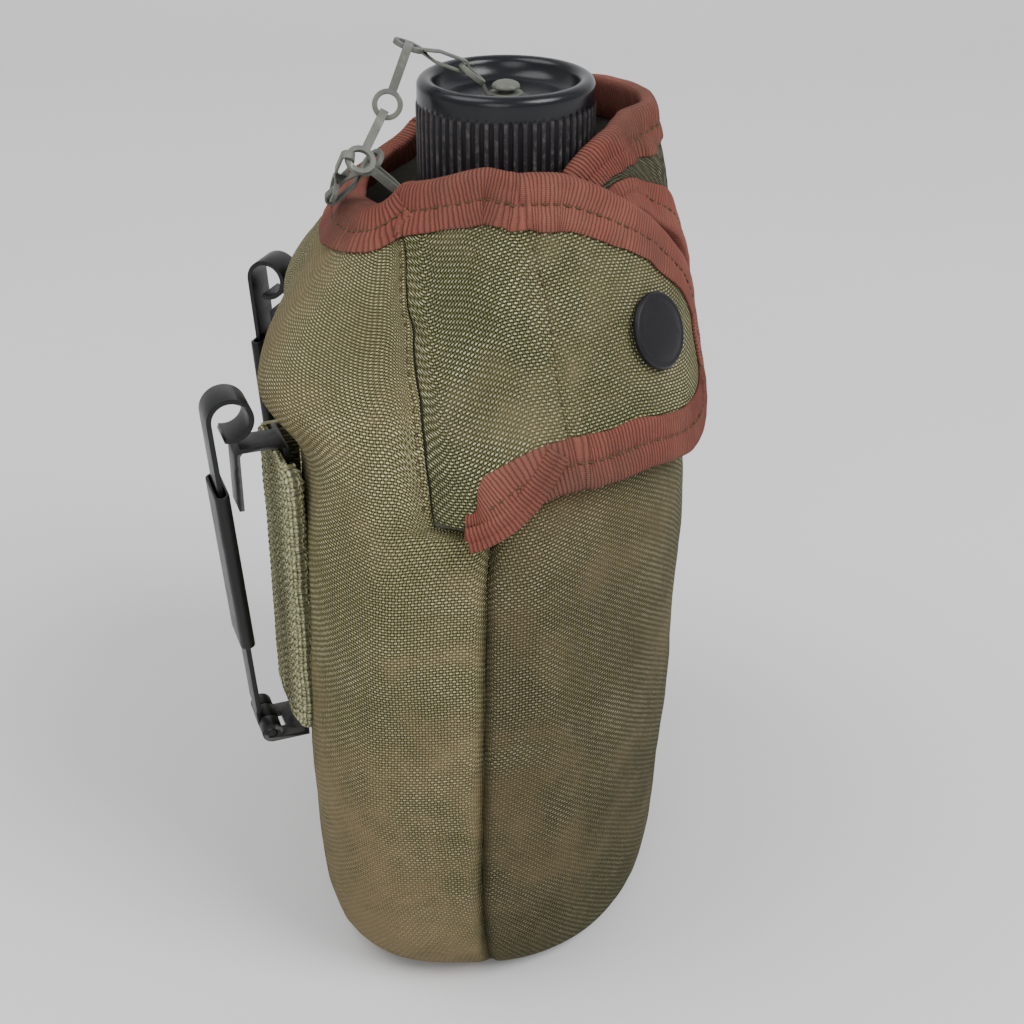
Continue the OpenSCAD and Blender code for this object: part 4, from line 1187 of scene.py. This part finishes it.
def snap_caps():
    """Slightly domed caps with a rolled rim."""
    level = float(flap_level(SNAP_W, SNAP_Z)) - 0.35
    profile = [(0.02, 2.55), (2.5, 2.53), (5, 2.45), (6.8, 2.25), (7.6, 2.05)]
    profile += arc((7.85, 1.25), 0.9, 80, -80, 9) + [(7.0, 0.3), (4, 0.3), (0.0, 0.3)]
    for side in ("left", "right"):
        at = snap_frame(side)
        at[:3, 3] += at[:3, 2] * level
        turned(f"{side}_snap_cap", profile[::-1], SNAP_STEEL, f"{side}_flap", 72, at)


def finish_small_parts():
    """Frame pieces whose shape is right get their own finish."""
    for node in ("left_snap_socket", "right_snap_socket", "snap_studs", "snap_stud_eyelets",
                 "cap_washer"):
        give(node, PLATED_STEEL)
    give("cap_gasket", RUBBER)
    for node in ("bottle_lower_shell", "bottle_upper_shell"):
        give(node, SHEET_STEEL)


def give(node, material):
    mesh = frame["nodes"][node].data
    if not mesh.materials:
        mesh.materials.append(material)
    for i in range(len(mesh.materials)):
        mesh.materials[i] = material


# ---- Webbing loops --------------------------------------------------------------------------------
KEEPER_AT = np.array([39.5, 53.2])
KEEPER_TURN = math.radians(-20)
WEB_LOW, WEB_HIGH, WEB_W = 68.5, 141.0, 25.0


def from_keeper(points, side):
    """From the keeper's own frame to the row's."""
    c, s = math.cos(KEEPER_TURN), math.sin(KEEPER_TURN)
    x = KEEPER_AT[0] + points[..., 0] * c - points[..., 1] * s
    y = KEEPER_AT[1] + points[..., 0] * s + points[..., 1] * c
    made = np.stack([x, y, points[..., 2]], -1)
    return mirrored(made) if side == "left" else made


def webbing_loop(side):
    """A flat sleeve of heavy webbing: cords lengthwise, its edges turned in to the cover."""
    half = WEB_W / 2
    section = [(-half + 0.3, -7.6), (-half, -5), (-half, -2), (-half + 0.1, 0.2), (-half + 0.7, 1.1)]
    section += [(x, 1.5) for x in np.linspace(-half + 1.6, half - 1.6, 80)]
    section += [(half - 0.7, 1.1), (half - 0.1, 0.2), (half, -0.7), (half - 0.2, -1.6)]
    section = np.array(section)
    z = np.concatenate([[WEB_LOW, WEB_LOW + 0.5], np.arange(WEB_LOW + 1, WEB_HIGH - 1, 0.55),
                        [WEB_HIGH - 0.5, WEB_HIGH]])
    x, y = section[None, :, 0], section[None, :, 1]
    zz = z[:, None] + 0 * x
    front = ease(0.6, 1.4, y)
    cords = 0.22 * np.abs(np.cos(x * math.pi / 2.6)) * front
    picks = 0.22 * np.sin(zz * math.tau / 1.9 + 1.4 * np.sin(x * 2.4)) * front
    seams = sum(-0.5 * np.exp(-((x - c) / 0.5) ** 2) for c in (-6.6, 6.4)) * front
    uneven = 0.25 * ripple(x, zz, 17, 41) * front
    end = -0.5 * (ease(WEB_LOW + 2, WEB_LOW, zz) + ease(WEB_HIGH - 2, WEB_HIGH, zz)) * front
    grid = np.stack([x + 0 * zz, y + cords + picks + seams + uneven + end - 0.15, zz], -1)
    inner = grid.copy()
    inner[..., 0] *= (half - 1.5) / half
    inner[..., 1] = np.where(front > 0.05, -0.05, np.minimum(grid[..., 1], -0.05))
    rows, cols = grid.shape[:2]
    n = rows * cols
    both = from_keeper(np.concatenate([grid.reshape(-1, 3), inner.reshape(-1, 3)]), side)
    out = side == "right"
    faces = grid_faces(rows, cols, 0, flip=out) + grid_faces(rows, cols, n, flip=not out)
    rim = rim_of(rows, cols)
    for a, b in zip(rim, rim[1:] + rim[:1]):
        faces.append((a, b, n + b, n + a) if out else (b, a, n + a, n + b))
    place = np.stack([x + 0 * zz, zz, 0 * zz], -1).reshape(-1, 3)
    name = f"{side}_webbing_loop"
    return new_piece(name, both, faces, WEBBING, "root",
                     {"weave": np.concatenate([place] * 2), "rest": both}, [name])


def overcast_edge(side):
    """The thick whipped edge round the loop's outer side and foot: a cord of close turns."""
    half = WEB_W / 2
    corner = 4.0
    path = [(-half + 1.5, WEB_HIGH - 1.2), (-half + 6, WEB_HIGH - 0.4), (half - corner, WEB_HIGH - 0.6)]
    path += arc((half - corner, WEB_HIGH - 1 - corner), corner, 80, 5, 6)
    path += [(half + 1.0, z) for z in np.linspace(WEB_HIGH - 8, WEB_LOW + 7, 12)]
    path += arc((half - corner, WEB_LOW + corner + 0.6), corner, -5, -85, 6)
    path += [(0, WEB_LOW + 0.8), (-half + 1.5, WEB_LOW + 1.2)]
    path = np.array(path)
    run = np.concatenate([[0], np.cumsum(np.linalg.norm(np.diff(path, axis=0), axis=1))])
    at = np.arange(0, run[-1], 0.22)
    x, z = np.interp(at, run, path[:, 0]), np.interp(at, run, path[:, 1])
    for _ in range(30):
        x[1:-1], z[1:-1] = (x[:-2] + 2 * x[1:-1] + x[2:]) / 4, (z[:-2] + 2 * z[1:-1] + z[2:]) / 4
    on_side = ease(half - 3, half - 0.2, x)
    y = 0.9 - 1.3 * on_side
    spine = np.stack([x, y, z], -1)
    tangent = unit_rows(np.gradient(spine, axis=0))
    cross = unit_rows(np.cross(tangent, np.array([0, 1.0, 0])))
    lift = np.cross(cross, tangent)
    sides = 20
    a = np.arange(sides) * math.tau / sides
    thick = 0.95 + 1.45 * on_side + 0.16 * np.sin(at / 3.1) + 0.13 * np.sin(at / 1.7)
    turns = 0.26 * np.abs(np.sin(at[:, None] * math.pi / 1.6 + a[None, :] * 0.5))
    r = thick[:, None] * (1 + turns)
    grid = (spine[:, None] + cross[:, None] * (r * np.cos(a))[..., None]
            + lift[:, None] * (r * 0.9 * np.sin(a))[..., None])
    n = len(at)
    flat = from_keeper(grid.reshape(-1, 3), side)
    faces = grid_faces(n, sides, 0, flip=side == "left", wrap=True)
    caps = [list(range(sides)), list(range((n - 1) * sides, n * sides))]
    faces += [caps[0][::-1], caps[1]] if side == "right" else [caps[0], caps[1][::-1]]
    place = np.stack([np.broadcast_to(at[:, None], r.shape), a[None, :] * thick[:, None],
                      np.zeros(r.shape)], -1)
    new_piece(f"{side}_webbing_overcast", flat, faces, WEBBING, "root",
              {"weave": place.reshape(-1, 3), "rest": flat})


# ---- Stage ----------------------------------------------------------------------------------------
def stage():
    """A pale floor that curves up into a backdrop, a white world and soft lights."""
    floor_mat, wires, shader = new_material("pale_floor", 0.6)
    tone = wires.noise(place_on_body(wires), 3.0, 3.0)
    wires.put(shader.inputs["Base Color"], wires.mix(tone, (0.76, 0.76, 0.77, 1), (0.8, 0.8, 0.81, 1)))
    run = [(-3.0, 0.0), (0.9, 0.0)] + [(0.9 + 0.5 * math.sin(a), 0.5 - 0.5 * math.cos(a))
                                       for a in np.linspace(0.1, math.pi / 2, 14)] + [(1.4, 3.0)]
    mesh = bpy.data.meshes.new("studio_floor")
    points = [(x, y, z) for x, z in run for y in (-3.5, 3.5)]
    mesh.from_pydata(points, [], [(2 * i, 2 * i + 1, 2 * i + 3, 2 * i + 2) for i in range(len(run) - 1)])
    mesh.polygons.foreach_set("use_smooth", [True] * len(mesh.polygons))
    mesh.materials.append(floor_mat)
    floor = bpy.data.objects.new("studio_floor", mesh)
    bpy.context.scene.collection.objects.link(floor)
    world = bpy.data.worlds.new("soft_room")
    world.use_nodes = True
    world.node_tree.nodes["Background"].inputs[0].default_value = (1, 1, 1, 1)
    world.node_tree.nodes["Background"].inputs[1].default_value = 0.55
    bpy.context.scene.world = world
    target = np.array([0, 0, 0.1])
    for name, place, size, power in (("window", (-0.7, -1.1, 1.5), 1.1, 28),
                                     ("sky_panel", (-0.2, 0.9, 1.7), 1.3, 15),
                                     ("fill", (-1.4, 0.3, 0.7), 0.9, 5)):
        light = bpy.data.lights.new(name, "AREA")
        light.shape, light.size, light.energy = "DISK", size, power
        lamp = bpy.data.objects.new(name, light)
        lamp.location = place
        lamp.rotation_euler = looking_along(target - np.array(place))
        bpy.context.scene.collection.objects.link(lamp)


def looking_along(aim):
    return Vector(aim).to_track_quat("-Z", "Y").to_euler()


def camera():
    """Seen from the left side and above, about 0.44 m from the canteen's middle."""
    lens = bpy.data.cameras.new("camera")
    lens.sensor_width = 36.0
    lens.lens = 58.0
    lens.shift_x = 0.006
    lens.clip_start = 0.01
    cam = bpy.data.objects.new("camera", lens)
    cam.location = (-0.38, 0.0, 0.314)
    pitch = math.radians(29.3)
    cam.rotation_euler = looking_along((math.cos(pitch), 0.0, -math.sin(pitch)))
    bpy.context.scene.collection.objects.link(cam)
    bpy.context.scene.camera = cam


# ---- Put together ---------------------------------------------------------------------------------
back_panel = cover_back_panel()
front_panel = cover_front_panel()
back_lining, front_lining = felt_linings()
edge_tapes()
left_canvas, left_lining, left_tape = flap_set(LEFT, NEAR_DUCK)
right_canvas, right_lining, right_tape = flap_set(RIGHT, FAR_FLAP_DUCK_SHADED)
for flap_side in ("left", "right"):
    hinge_seam(flap_side)
    webbing_loop(flap_side)
    overcast_edge(flap_side)
snap_caps()
cap_shell()
bottle_neck()
keepers()
chain()
finish_small_parts()
stage()
camera()
